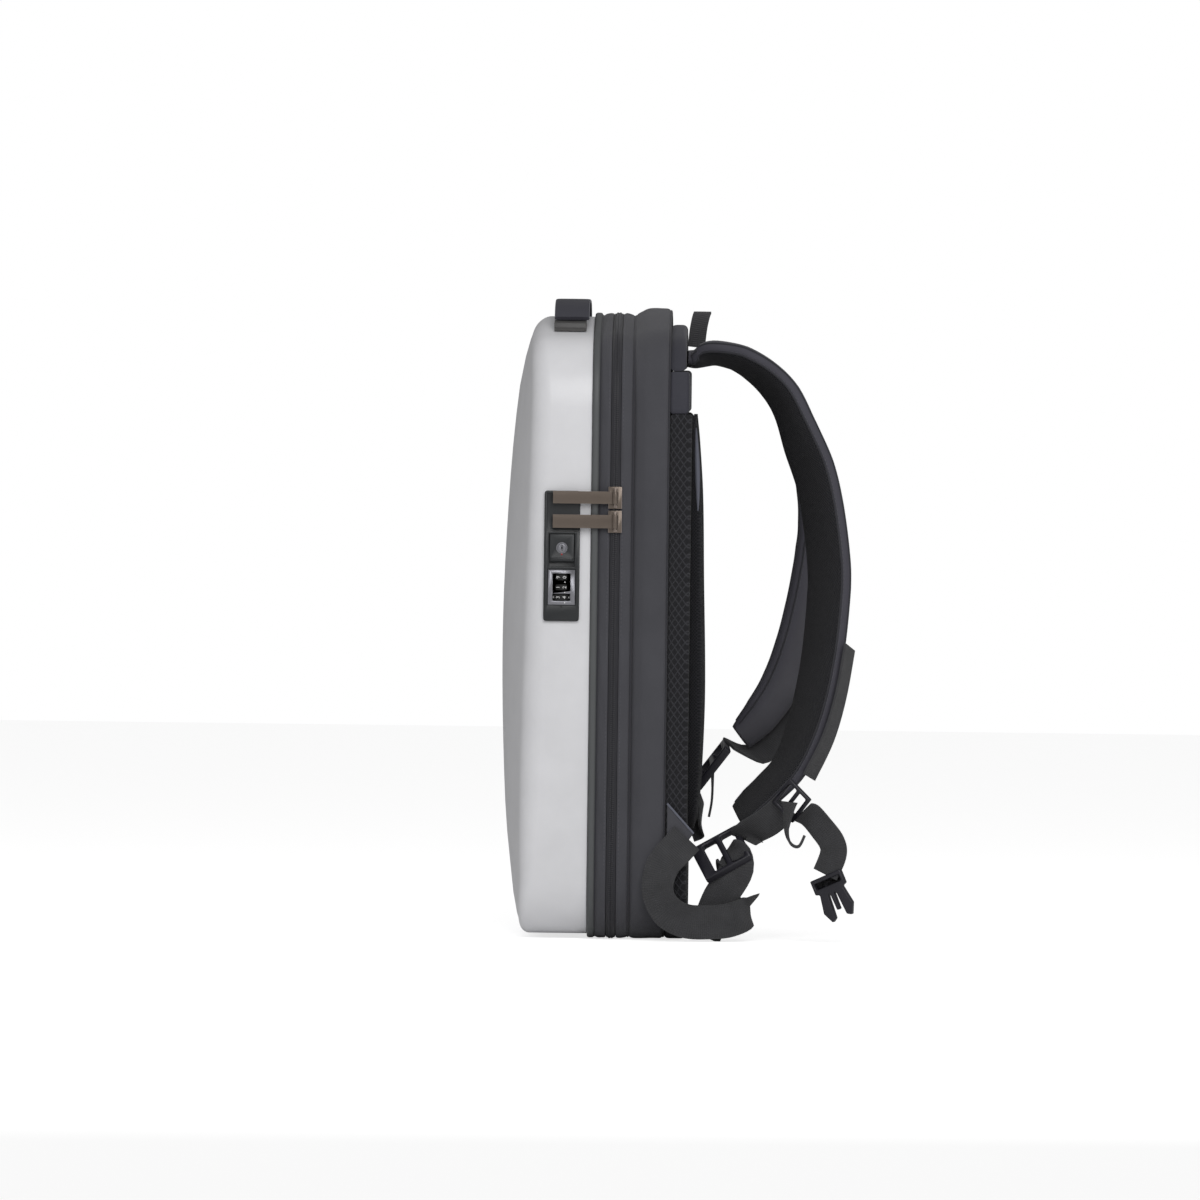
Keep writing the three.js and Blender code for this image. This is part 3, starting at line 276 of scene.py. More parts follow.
def clothMaterial(name, rgb, rough=0.75, period=0.7, depth=0.06, sheen=0.15):
    m = Maker(name, rgb, rough, spec=0.3)
    m.set("Sheen Weight", sheen)
    m.set("Sheen Roughness", 0.5)
    x, y, z = m.split(m.coords())
    across = m.wave(m.math("ADD", x, y), period * mm)
    up = m.wave(z, period * mm)
    weave = m.math("MULTIPLY", across, up)
    m.tint(m.noise(28, 5), 0.86, 1.16)
    first = m.bump(m.noise(60, 4), 0.35 * mm, 0.6)
    m.bump(weave, depth * mm, 1.0, first)
    return m.material


def webMaterial(name, rgb, rib=1.5, rough=0.7):
    m = Maker(name, rgb, rough, spec=0.35)
    m.set("Sheen Weight", 0.12)
    u, v, _ = m.split(m.coords("UV"))
    ribs = m.wave(v, rib * mm)
    cords = m.wave(u, 1.9 * mm)
    herring = m.wave(m.math("ADD", v, m.math("MULTIPLY", m.math("ABSOLUTE", cords), 0.6 * mm)), rib * mm)
    height = m.math("ADD", m.math("MULTIPLY", herring, 0.6), m.math("MULTIPLY", cords, 0.4))
    m.tint(m.math("ADD", m.math("MULTIPLY", ribs, 0.25), m.noise(90, 3)), 0.75, 1.35)
    m.bump(height, 0.16 * mm)
    return m.material


def latticeMaterial(name, rgb, wide=5.0, tall=7.0, light=2.6):
    m = Maker(name, rgb, 0.85, spec=0.25)
    m.set("Sheen Weight", 0.1)
    u, v, _ = m.split(m.coords("UV"))
    a = m.math("ADD", m.math("DIVIDE", u, wide * mm), m.math("DIVIDE", v, tall * mm))
    b = m.math("SUBTRACT", m.math("DIVIDE", u, wide * mm), m.math("DIVIDE", v, tall * mm))
    first = m.math("ABSOLUTE", m.wave(a, 2.0))
    second = m.math("ABSOLUTE", m.wave(b, 2.0))
    lines = m.math("SUBTRACT", 1.0, m.math("MINIMUM", m.math("MULTIPLY", m.math("MINIMUM", first, second), 1.9), 1.0))
    fine = m.wave(m.math("ADD", u, v), 0.9 * mm)
    height = m.math("ADD", lines, m.math("MULTIPLY", fine, 0.12))
    m.tint(lines, 0.8, light)
    m.bump(height, 0.7 * mm)
    return m.material


materials = {
    "shell": plasticMaterial("shellWhite", (240, 240, 243), 0.32, 700, 0.03),
    "frame": plasticMaterial("frameGray", (88, 90, 91), 0.5, 900, 0.04),
    "cloth": clothMaterial("coatedCloth", (80, 80, 85)),
    "tape": clothMaterial("zipTape", (58, 58, 62), 0.7, 0.9, 0.1),
    "coil": plasticMaterial("zipCoil", (70, 70, 74), 0.45),
    "mesh": latticeMaterial("latticeMesh", (46, 46, 49)),
    "padMesh": latticeMaterial("padMesh", (40, 40, 44), 2.2, 2.6, 2.0),
    "smooth": clothMaterial("smoothCloth", (62, 62, 70), 0.6, 0.5, 0.03),
    "binding": clothMaterial("bindingCloth", (76, 75, 83), 0.65, 0.5, 0.03),
    "webbing": webMaterial("webbing", (66, 66, 68)),
    "plastic": plasticMaterial("bucklePlastic", (44, 43, 50), 0.38),
    "lock": plasticMaterial("lockBlack", (44, 46, 48), 0.35),
    "silver": plasticMaterial("bezelGray", (140, 140, 146), 0.32, 900, 0.02, 0.6),
    "dial": plasticMaterial("dialBlack", (18, 18, 19), 0.4),
    "digit": plasticMaterial("digitWhite", (235, 235, 235), 0.5),
    "pull": plasticMaterial("pullMetal", (118, 107, 98), 0.35, 900, 0.02, 0.6),
    "handle": plasticMaterial("handleRubber", (66, 66, 74), 0.6),
    "thread": clothMaterial("thread", (95, 95, 102), 0.7, 0.6, 0.08),
    "seam": clothMaterial("seamCord", (58, 58, 63), 0.65, 0.6, 0.05),
    "piping": clothMaterial("lightPiping", (108, 110, 122), 0.5, 0.6, 0.03),
    # painted highlight: a lighter finish for the handle band's side edges, where light catches them
    "handleHighlight": plasticMaterial("handleHighlight", (150, 150, 158), 0.45),
    "handleBase": plasticMaterial("handleBase", (84, 83, 82), 0.5),
    # painted highlight: a lighter, pinkish finish for the bevelled edges of the zip sliders and pulls
    "pullHighlight": plasticMaterial("pullHighlight", (176, 162, 154), 0.3, 900, 0.02, 0.7),
    "redMark": plasticMaterial("redMark", (190, 30, 30), 0.4),
}
print("materials made")

camera = {
    "distance": 12.0,
    "span": 873 * mm,         # what the image's side covers at the near side of the pack
    "target": (0.1525, -0.0327, 0.2473),
    "elevation": 1.0,
    "yaw": 0.6,
    "roll": 0.7,
}


def makeCamera():
    data = bpy.data.cameras.new("camera")
    data.sensor_width = 36
    data.lens = 36 * camera["distance"] / camera["span"]
    eye = bpy.data.objects.new("camera", data)
    bpy.context.scene.collection.objects.link(eye)
    e, a = math.radians(camera["elevation"]), math.radians(camera["yaw"])
    target = Vector(camera["target"])
    away = Vector((math.cos(e) * math.cos(a), math.cos(e) * math.sin(a), math.sin(e)))
    eye.location = target + away * camera["distance"]
    turn = (-away).to_track_quat("-Z", "Y")
    eye.rotation_euler = (turn.to_matrix() @ Matrix.Rotation(math.radians(camera["roll"]), 3, "Z")).to_euler()
    bpy.context.scene.camera = eye


makeCamera()

studio = {"world": 0.25, "key": 26, "keySize": 1.6, "fill": 1, "top": 2.2, "floorGlow": 0.7}


def areaLight(name, place, target, size, power):
    data = bpy.data.lights.new(name, "AREA")
    data.size = size
    data.energy = power
    lamp = bpy.data.objects.new(name, data)
    bpy.context.scene.collection.objects.link(lamp)
    lamp.location = place
    lamp.rotation_euler = (Vector(target) - Vector(place)).to_track_quat("-Z", "Y").to_euler()


def makeStudio():
    world = bpy.data.worlds.new("studio")
    bpy.context.scene.world = world
    world.use_nodes = True
    tree = world.node_tree
    back = tree.nodes["Background"]
    rays = tree.nodes.new("ShaderNodeLightPath")
    mix = tree.nodes.new("ShaderNodeMix")
    mix.inputs["A"].default_value = studio["world"]
    mix.inputs["B"].default_value = 1.0
    tree.links.new(rays.outputs["Is Camera Ray"], mix.inputs["Factor"])
    tree.links.new(mix.outputs["Result"], back.inputs["Strength"])
    back.inputs["Color"].default_value = (1, 1, 1, 1)
    areaLight("key", (2.2, 0.3, 1.5), (0, 0, 0.25), studio["keySize"], studio["key"])
    areaLight("fill", (1.4, -2.0, 0.7), (0, 0, 0.25), 1.4, studio["fill"])
    areaLight("top", (0.1, 0.2, 2.2), (0, 0, 0.2), 1.2, studio["top"])
    floor = Maker("floorPale", (252, 252, 252), 0.7)
    floor.set("Emission Color", (1, 1, 1, 1))
    # the floor looks pale but sheds no light on the shell
    seen = floor.node("LightPath").outputs["Is Camera Ray"]
    floor.join(floor.math("MULTIPLY", seen, studio["floorGlow"]), floor.shader.inputs["Emission Strength"])
    mesh = bpy.data.meshes.new("floor")
    wide = 6.0
    low = -0.0005
    corners = [(-wide, -wide, low), (wide, -wide, low), (wide, wide, low), (-wide, wide, low)]
    mesh.from_pydata(corners, [], [(0, 1, 2, 3)])
    mesh.materials.append(floor.material)
    plane = bpy.data.objects.new("floor", mesh)
    bpy.context.scene.collection.objects.link(plane)
    bpy.context.scene.view_settings.view_transform = "Standard"


makeStudio()
print("camera and studio made")

# Shares of the shell's height and depth, from the bottom up
shell = {
    "wall": 3 * mm,
    "inset": 3 * mm,
    "round": 13 * mm,
    "rows": [
        {"up": 0.0, "middle": 0.68, "side": 0.74, "round": 0.35},
        {"up": 0.03, "middle": 0.8, "side": 0.742, "round": 0.4},
        {"up": 0.08, "middle": 0.86, "side": 0.733, "round": 0.7},
        {"up": 0.21, "middle": 0.95, "side": 0.722, "round": 0.95},
        {"up": 0.47, "middle": 1.0, "side": 0.67, "round": 1.0},
        {"up": 0.71, "middle": 0.944, "side": 0.636, "round": 1.0},
        {"up": 0.89, "middle": 0.835, "side": 0.628, "round": 0.95},
        {"up": 0.965, "middle": 0.715, "side": 0.625, "round": 0.8},
        {"up": 1.0, "middle": 0.61, "side": 0.6, "round": 0.6},
    ],
    "turns": 8,
    "scales": [0.96, 0.9, 0.8, 0.7, 0.6, 0.5, 0.4, 0.3, 0.2, 0.1],
    "box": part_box("front_shell"),
}


def ringAt(points, y):
    return [(x, y, z) for x, z in points]


def shellFace(x, z, sunk):
    low, high = shell["box"]
    depth = 65.5 * mm
    up = min(max((z - low[2]) / (high[2] - low[2]), 0), 1)
    middle = tableAt(shell["rows"], "up", up, "middle")
    side = tableAt(shell["rows"], "up", up, "side")
    across = min(abs(x) / pack["half"], 1)
    return high[1] - depth * (side + (middle - side) * (1 - across * across)) + sunk


def shellRings(wall):
    low, high = shell["box"]
    rim = outline(shell["inset"] + wall, pack["frontSink"])
    step = outline(shell["inset"] + wall + mm, pack["frontSink"])
    rings = [ringAt(rim, high[1])]
    for i in range(shell["turns"] + 1):
        a = math.pi / 2 * i / shell["turns"]
        ring = []
        for (x, z), (sx, sz) in zip(rim, step):
            up = min(max((z - low[2]) / (high[2] - low[2]), 0), 1)
            turn = max(shell["round"] * tableAt(shell["rows"], "up", up, "round") - wall, mm)
            move = turn * (1 - math.cos(a)) / mm
            px, pz = x + (sx - x) * move, z + (sz - z) * move
            ring.append((px, shellFace(px, pz, wall) + turn * (1 - math.sin(a)), pz))
        rings.append(ring)
    edge = rings[-1]
    centreZ = sum(p[2] for p in edge) / len(edge)
    for scale in shell["scales"]:
        ring = []
        for p in edge:
            x, z = p[0] * scale, centreZ + (p[2] - centreZ) * scale
            ring.append((x, shellFace(x, z, wall), z))
        rings.append(ring)
    return rings, (0, shellFace(0, centreZ, wall), centreZ)


def makeShell():
    outer, outerTip = shellRings(0)
    inner, innerTip = shellRings(shell["wall"])
    shape = loft(list(reversed(outer)) + inner, tips=(outerTip, innerTip))
    makePiece("shellTray", shape, materials["shell"], replaced=["front_shell"], sharp=50)


makeShell()
print("shell made")


# A band round the pack: rows of (share along, inset, lift), closed with an inner wall
def bandShape(node, sink, rows, wall, waves=None):
    low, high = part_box(node)
    rings = []
    for n, (along, inset, lift) in enumerate(rows):
        y = low[1] + (high[1] - low[1]) * along
        points = outline(inset * mm, sink, lift * mm)
        if waves:
            inner = outline(inset * mm + mm, sink, lift * mm + mm)
            points = [
                (x + (ix - x) * waves(x, z, along), z + (iz - z) * waves(x, z, along))
                for (x, z), (ix, iz) in zip(points, inner)
            ]
        rings.append(ringAt(points, y))
    for along, inset, lift in (rows[-1], rows[0]):
        y = low[1] + (high[1] - low[1]) * along
        rings.append(ringAt(outline(inset * mm + wall, sink, lift * mm + wall), y))
    return loft(rings, joined=True)


def smoothRows(rows, steps):
    table = [{"along": a, "inset": i, "lift": l} for a, i, l in rows]
    made = []
    for n in range(steps + 1):
        at = n / steps
        made.append((at, max(tableAt(table, "along", at, "inset"), 0), max(tableAt(table, "along", at, "lift"), 0)))
    return made


def wrinkle(x, z, along):
    # soft folds that fade towards the seams, in share of a millimetre
    fade = math.sin(math.pi * min(max(along, 0), 1))
    run = x * 41 + z * 57
    return 0.45 * fade * (math.sin(run) * math.sin(run * 0.37 + 1.3) + 0.5 * math.sin(run * 2.3 + along * 5))


bands = {
    "frame": [(0, 1, 1), (0.12, 0.25, 0.25), (0.3, 0, 0), (0.7, 0, 0), (0.88, 0.25, 0.25), (1, 1, 1)],
    "front": [(0, 2.8, 1.2), (0.2, 1.7, 0.5), (0.5, 0.9, 0), (0.8, 0.3, 0), (1, 0.6, 0.5)],
    "zip": [(0, 1.1, 1.1), (0.1, 0.5, 0.3), (0.3, 0.4, 0.1), (0.7, 0.4, 0.1), (0.9, 0.5, 0.3), (1, 1.1, 1.1)],
    "middle": [(0, 0.8, 0.4), (0.2, 0.4, 0), (0.5, 1.0, 0), (0.8, 1.6, 0.3), (1, 2.8, 1.4)],
    "rear": [(0, 5.4, 1.6), (0.06, 4.0, 0.6), (0.15, 2.9, 0), (0.34, 0.8, 0), (0.55, 0.1, 0), (0.75, 0, 0),
             (0.9, 0.1, 0), (0.96, 0.6, 0.4), (1, 1.8, 1.4)],
}


def makeBands():
    sink = pack["frontSink"]
    cloth = materials["cloth"]
    frameShape = bandShape("shell_frame", sink, bands["frame"], 5 * mm)
    makePiece("shellFrame", frameShape, materials["frame"], replaced=["shell_frame"])
    front = bandShape("front_gusset", sink, smoothRows(bands["front"], 8), 2 * mm, wrinkle)
    makePiece("frontBand", front, cloth, replaced=["front_gusset"])
    tape = bandShape("zipper_band", sink, bands["zip"], 2 * mm)
    makePiece("zipTape", tape, materials["tape"], replaced=["zipper_band"])
    middle = bandShape("middle_gusset", sink, smoothRows(bands["middle"], 8), 2 * mm, wrinkle)
    makePiece("middleBand", middle, cloth, replaced=["middle_gusset"])
    rear = bandShape("rear_gusset", 0.0, smoothRows(bands["rear"], 20), 2 * mm, wrinkle)
    makePiece("rearBand", rear, cloth, replaced=["rear_gusset"])


makeBands()
print("bands made")

def place(side, out, up):
    s = strap
    return Vector((side * s["spread"], s["root"] + out * s["reach"], up * pack["height"]))


def strapStations(rows, web=None):
    centres = [place(*row[:3]) for row in rows]
    centres[0].y = strap["start"]
    stations = []
    last = len(rows) - 1
    for i, row in enumerate(rows):
        along = (centres[min(i + 1, last)] - centres[max(i - 1, 0)]).normalized()
        level = (Vector((1, 0, 0)) - along * along.x).normalized()
        across = Matrix.Rotation(math.radians(-row[3]), 3, along) @ level
        face = across.cross(along).normalized()
        lift = (strap["thick"] * row[5] + strap["webThick"]) / 2 + 0.9 * mm if web else 0
        stations.append({
            "centre": centres[i] - face * lift,
            "across": across,
            "wide": web or strap["wide"] * row[4],
            "thick": strap["webThick"] if web else strap["thick"] * row[5],
            "face": face,
        })
    return stations


# Web stations along the strap's outer edge, in a plane turned so far from the strap's face
def edgeStations(rows, side, tilt, shift):
    s, c = math.sin(math.radians(tilt)), math.cos(math.radians(tilt))
    stations = []
    for station in strapStations(rows):
        across, face = station["across"], station["face"]
        normal = across * side * s + face * c
        level = across * c - face * side * s
        corners = [across * w * station["wide"] + face * t * station["thick"] for w, t in edgeCorners]
        touch = max(corners, key=lambda corner: corner.dot(normal))
        lift = strap["webThick"] / 2 + 0.9 * mm
        stations.append({
            "centre": station["centre"] + touch + normal * lift + level * side * shift,
            "across": level,
            "wide": strap["web"],
            "thick": strap["webThick"],
            "normal": normal,
        })
    return stations


# Smooth stations through the given ones, with so many steps in each stretch
def between(stations, per):
    made = []
    last = len(stations) - 1
    for i in range(last):
        p = [stations[min(max(i + n, 0), last)] for n in (-1, 0, 1, 2)]
        for step in range(per + (1 if i == last - 1 else 0)):
            t = step / per
            weights = (
                -0.5 * t + t * t - 0.5 * t ** 3,
                1 - 2.5 * t * t + 1.5 * t ** 3,
                0.5 * t + 2 * t * t - 1.5 * t ** 3,
                -0.5 * t * t + 0.5 * t ** 3,
            )
            made.append({
                "centre": sum((s["centre"] * k for s, k in zip(p, weights)), Vector()),
                "across": (p[1]["across"] * (1 - t) + p[2]["across"] * t).normalized(),
                "wide": p[1]["wide"] * (1 - t) + p[2]["wide"] * t,
                "thick": p[1]["thick"] * (1 - t) + p[2]["thick"] * t,
            })
    return made


def frames(stations):
    made = []
    last = len(stations) - 1
    for i, s in enumerate(stations):
        along = (stations[min(i + 1, last)]["centre"] - stations[max(i - 1, 0)]["centre"]).normalized()
        across = (s["across"] - along * s["across"].dot(along)).normalized()
        made.append((s, along, across, across.cross(along)))
    return made


def stripRings(stations, section, wave=None):
    rings = []
    for i, (s, along, across, face) in enumerate(frames(stations)):
        lift = wave(i / max(len(stations) - 1, 1)) if wave else 0
        centre = s["centre"] + face * lift
        rings.append([tuple(centre + across * w * s["wide"] + face * t * s["thick"]) for w, t in section])
    return rings


def softSection(count, square=0.55, belly=0.8):
    points = []
    for i in range(count):
        a = 2 * math.pi * i / count
        c, s = math.cos(a), math.sin(a)
        points.append((
            0.5 * math.copysign(abs(c) ** square, c),
            0.5 * math.copysign(abs(s) ** belly, s),
        ))
    return points


# Small raised stitches along a line of points, each lying on the surface whose normal is given
def stitches(name, lines, material, size, body="pack"):
    verts = []
    faces = []
    uvs = []
    for points in lines:
        lengths = [0.0]
        for (p, _), (q, _) in zip(points, points[1:]):
            lengths.append(lengths[-1] + (q - p).length)
        count = max(int(lengths[-1] / size["pitch"]), 1)
        n = 0
        for i in range(count):
            at = (i + 0.5) * lengths[-1] / count
            while n < len(lengths) - 2 and at > lengths[n + 1]:
                n += 1
            t = (at - lengths[n]) / max(lengths[n + 1] - lengths[n], 1e-9)
            (p, pn), (q, qn) = points[n], points[n + 1]
            centre = p.lerp(q, t)
            up = pn.lerp(qn, t).normalized()
            along = (q - p).normalized()
            side = up.cross(along).normalized()
            start = len(verts)
            for a, b, c in ((-0.5, 0, 0.0), (-0.3, 1, 0.8), (0.3, 1, 0.8), (0.5, 0, 0.0)):
                middle = centre + along * a * size["long"]
                wide = side * size["wide"] * (0.3 + 0.7 * b) / 2
                verts.extend((middle - wide, middle + up * c * size["rise"] * 1.3, middle + wide))
            for k in range(3):
                for m in range(2):
                    a = start + k * 3 + m
                    faces.append((a, a + 1, a + 4, a + 3))
                    uvs.append(((0, 0), (0.001, 0), (0.001, 0.001), (0, 0.001)))
    mesh = bpy.data.meshes.new(name)
    mesh.from_pydata([tuple(v) for v in verts], [], faces)
    layer = mesh.uv_layers.new(name="UVMap")
    mesh.materials.append(material)
    mesh.shade_smooth()
    piece = bpy.data.objects.new(name, mesh)
    bpy.context.scene.collection.objects.link(piece)
    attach(piece, body)
    return piece


# A round or flattened tube along a line of points
def tube(points, radius, sides=10, flat=1.0, up=None):
    rings = []
    last = len(points) - 1
    side = None
    for i, p in enumerate(points):
        along = (points[min(i + 1, last)] - points[max(i - 1, 0)]).normalized()
        if side is None:
            hint = up or (Vector((0, 0, 1)) if abs(along.z) < 0.9 else Vector((1, 0, 0)))
            side = along.cross(hint).normalized()
        side = (side - along * side.dot(along)).normalized()
        other = along.cross(side)
        r = radius(i / last) if callable(radius) else radius
        rings.append([
            tuple(p + (side * math.cos(a) + other * math.sin(a) * flat) * r)
            for a in (2 * math.pi * k / sides for k in range(sides))
        ])
    return loft(rings)


def joined(*shapes):
    verts = []
    faces = []
    uvs = []
    for v, f, u in shapes:
        if signedVolume(v, f) < 0:
            f = [tuple(reversed(face)) for face in f]
            u = [tuple(reversed(uv)) for uv in u]
        start = len(verts)
        verts.extend(v)
        faces.extend(tuple(k + start for k in face) for face in f)
        uvs.extend(u)
    return verts, faces, uvs


# A disc or ring of revolution about a line, from rows of (along, radius)
def turned(centre, axis, rows, sides=24):
    axis = Vector(axis).normalized()
    hint = Vector((0, 0, 1)) if abs(axis.z) < 0.9 else Vector((1, 0, 0))
    side = axis.cross(hint).normalized()
    other = axis.cross(side)
    rings = []
    for along, radius in rows:
        rings.append([
            tuple(Vector(centre) + axis * along + (side * math.cos(a) + other * math.sin(a)) * radius)
            for a in (2 * math.pi * k / sides for k in range(sides))
        ])
    return loft(rings)


# A CAD node's own mesh with its sharp edges rounded; where a second finish is given, the rounded edges carry it as a
# painted highlight
def softened(node, name, finish, body="pack", width=0.4, edge=None, angle=28):
    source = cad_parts[node].data
    grid = bmesh.new()
    grid.from_mesh(source)
    bmesh.ops.remove_doubles(grid, verts=grid.verts, dist=0.01 * mm)
    flat = math.radians(2)
    bmesh.ops.dissolve_limit(grid, angle_limit=flat, verts=grid.verts, edges=grid.edges)
    mesh = bpy.data.meshes.new(name)
    grid.to_mesh(mesh)
    grid.free()
    mesh.materials.clear()
    mesh.materials.append(finish)
    if edge:
        mesh.materials.append(edge)
    piece = bpy.data.objects.new(name, mesh)
    bpy.context.scene.collection.objects.link(piece)
    round = piece.modifiers.new("rounded", "BEVEL")
    round.width = width * mm
    round.segments = 3
    round.limit_method = "ANGLE"
    round.angle_limit = math.radians(angle)
    round.use_clamp_overlap = True
    round.miter_outer = "MITER_ARC"
    # the bevel faces get the second finish: a painted highlight along the rounded edges
    if edge:
        round.material = 1
    bakeModifiers(piece)
    piece.data.shade_smooth()
    piece.data.set_sharp_from_angle(angle=math.radians(50))
    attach(piece, body)
    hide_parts(node)
    return piece


def bakeModifiers(piece):
    graph = bpy.context.evaluated_depsgraph_get()
    mesh = bpy.data.meshes.new_from_object(piece.evaluated_get(graph))
    piece.modifiers.clear()
    piece.data = mesh


def blockShape(low, high):
    x0, y0, z0 = low
    x1, y1, z1 = high
    ring = [(x0, y0), (x1, y0), (x1, y1), (x0, y1)]
    return loft([[(x, y, z0) for x, y in ring], [(x, y, z1) for x, y in ring]])


def cutAway(piece, shape):
    verts, faces, _ = shape
    if signedVolume(verts, faces) < 0:
        faces = [tuple(reversed(f)) for f in faces]
    mesh = bpy.data.meshes.new("cutter")
    mesh.from_pydata([tuple(v) for v in verts], [], faces)
    cutter = bpy.data.objects.new("cutter", mesh)
    bpy.context.scene.collection.objects.link(cutter)
    change = piece.modifiers.new("cut", "BOOLEAN")
    change.operation = "DIFFERENCE"
    change.object = cutter
    change.solver = "EXACT"
    bakeModifiers(piece)
    bpy.data.objects.remove(cutter)


# Back panels: a stretch of the outline between two heights, padded and rounded at its rims
backSizes = {
    "round": 4 * mm,
    "turns": 6,
    "inset": 2 * mm,
    "fine": 2.5 * mm,
}


def slabPoints(inset, low, high):
    points = outline(inset, 0.0, min(inset, 0))
    kept = []
    for keep, level in ((lambda p: p[1] <= high, high), (lambda p: p[1] >= low, low)):
        kept = []
        for i, p in enumerate(points):
            q = points[(i + 1) % len(points)]
            if keep(p):
                kept.append(p)
            if keep(p) != keep(q):
                t = (level - p[1]) / (q[1] - p[1])
                kept.append((p[0] + (q[0] - p[0]) * t, level))
        points = kept
    return points


def resampled(points, step):
    total = sum(math.dist(p, points[(i + 1) % len(points)]) for i, p in enumerate(points))
    count = int(total / step)
    made = []
    n = 0
    run = 0.0
    length = math.dist(points[0], points[1])
    for k in range(count):
        at = total * k / count
        while at > run + length and n < len(points) - 1:
            run += length
            n += 1
            length = math.dist(points[n], points[(n + 1) % len(points)])
        t = (at - run) / max(length, 1e-9)
        p, q = points[n], points[(n + 1) % len(points)]
        made.append((p[0] + (q[0] - p[0]) * t, p[1] + (q[1] - p[1]) * t))
    return made


def panelShape(node, inset, low, high, round, bulge=0.0):
    front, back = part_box(node)[0].y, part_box(node)[1].y
    points = resampled(slabPoints(inset, low, high), backSizes["fine"])
    wide = max(x for x, z in points)
    middle = (low + high) / 2
    tall = (high - low) / 2

    def drawn(share, y):
        return [
            (x * (1 - share * round / wide), y, middle + (z - middle) * (1 - share * round / tall))
            for x, z in points
        ]

    rings = []
    turns = backSizes["turns"]
    for i in range(turns + 1):
        a = math.pi / 2 * i / turns
        rings.append(drawn(1 - math.sin(a), front + round * (1 - math.cos(a))))
    for i in range(turns + 1):
        a = math.pi / 2 * i / turns
        rings.append(drawn(1 - math.cos(a), back - round * (1 - math.sin(a))))
    for share in (0.9, 0.75, 0.55, 0.35, 0.15):
        rings.append([
            (x * share, back, middle + (z - middle) * share) for x, y, z in rings[2 * turns + 1]
        ])
    return loft(rings)


def flatUv(shape, scale=1.0):
    # across and up in metres, for a pattern that runs straight over the panel
    verts, faces, _ = shape
    uvs = []
    for face in faces:
        uvs.append(tuple((abs(verts[k].x) + abs(verts[k].y), verts[k].z) for k in face))
    return verts, faces, uvs


def makeBack():
    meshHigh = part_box("back_mesh")[1].z
    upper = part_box("upper_panel")
    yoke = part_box("yoke_pad")
    shape = flatUv(panelShape("back_mesh", backSizes["inset"], 0.0, meshHigh, 4 * mm))
    makePiece("backMesh", shape, materials["mesh"], replaced=["back_mesh"])
    shape = panelShape("upper_panel", backSizes["inset"], upper[0].z, upper[1].z, 3 * mm)
    makePiece("upperPanel", shape, materials["smooth"], replaced=["upper_panel"])
    shape = panelShape("yoke_pad", 6 * mm, yoke[0].z, yoke[1].z, 4 * mm)
    makePiece("yokePad", shape, materials["smooth"], replaced=["yoke_pad"])


makeBack()
print("back panels made")

backPad = {
    "rows": [
        {"up": 0.0, "wide": 0.35, "thick": 0.4},
        {"up": 0.03, "wide": 0.7, "thick": 0.64},
        {"up": 0.12, "wide": 0.92, "thick": 0.84},
        {"up": 0.32, "wide": 1.0, "thick": 1.0},
        {"up": 0.6, "wide": 1.0, "thick": 0.83},
        {"up": 0.8, "wide": 1.0, "thick": 0.7},
        {"up": 0.93, "wide": 0.85, "thick": 0.45},
        {"up": 1.0, "wide": 0.4, "thick": 0.25},
    ],
    "section": [
        {"at": 0.0, "across": -0.5, "deep": 0.0},
        {"at": 1.0, "across": -0.5, "deep": 0.62},
        {"at": 2.0, "across": -0.42, "deep": 0.93},
        {"at": 3.0, "across": -0.2, "deep": 1.0},
        {"at": 4.0, "across": 0.2, "deep": 1.0},
        {"at": 5.0, "across": 0.42, "deep": 0.93},
        {"at": 6.0, "across": 0.5, "deep": 0.62},
        {"at": 7.0, "across": 0.5, "deep": 0.0},
    ],
    "steps": 60,
    "around": 28,
    "centre": 79 * mm,
    "wide": 78 * mm,
}


def padPoint(side, up, at):
    low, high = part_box("back_pad_right")
    wide = backPad["wide"] * tableAt(backPad["rows"], "up", up, "wide")
    thick = (high.y - low.y) * tableAt(backPad["rows"], "up", up, "thick")
    across = tableAt(backPad["section"], "at", at, "across")
    deep = max(tableAt(backPad["section"], "at", at, "deep"), 0)
    x = side * (backPad["centre"] + across * wide)
    return Vector((x, low.y + deep * thick, low.z + up * (high.z - low.z)))


def makeBackPads():
    for side, word in ((1, "right"), (-1, "left")):
        rings = []
        for i in range(backPad["steps"] + 1):
            up = 0.5 - 0.5 * math.cos(math.pi * i / backPad["steps"])
            rings.append([padPoint(side, up, 7 * k / backPad["around"]) for k in range(backPad["around"] + 1)])
        shape = flatUv(loft(rings))
        name = "backPad" + word.capitalize()
        pad = makePiece(name, shape, materials["padMesh"], replaced=["back_pad_" + word], sharp=70)
        points = [padPoint(side, 0.97 - 0.2 * k / 24, 6.2) + Vector((0, 0.6 * mm, 0)) for k in range(25)]
        piping = tube(points, lambda t: (0.4 + 1.5 * math.sin(math.pi * t) ** 0.8) * mm, 12)
        makePiece("padPiping" + word.capitalize(), piping, materials["piping"])


makeBackPads()
print("back pads made")

strap = {
    "wide": 62 * mm,
    "thick": 15 * mm,
    "reach": 120 * mm,
    "spread": 125 * mm,
    "root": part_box("rear_gusset")[1].y + 1.2 * mm,
    "start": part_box("yoke_pad")[1].y + 0.3 * mm,
    "web": 25 * mm,
    "webThick": 1.8 * mm,
    "chestWeb": 20 * mm,
    "around": 40,
    "steps": 7,
}
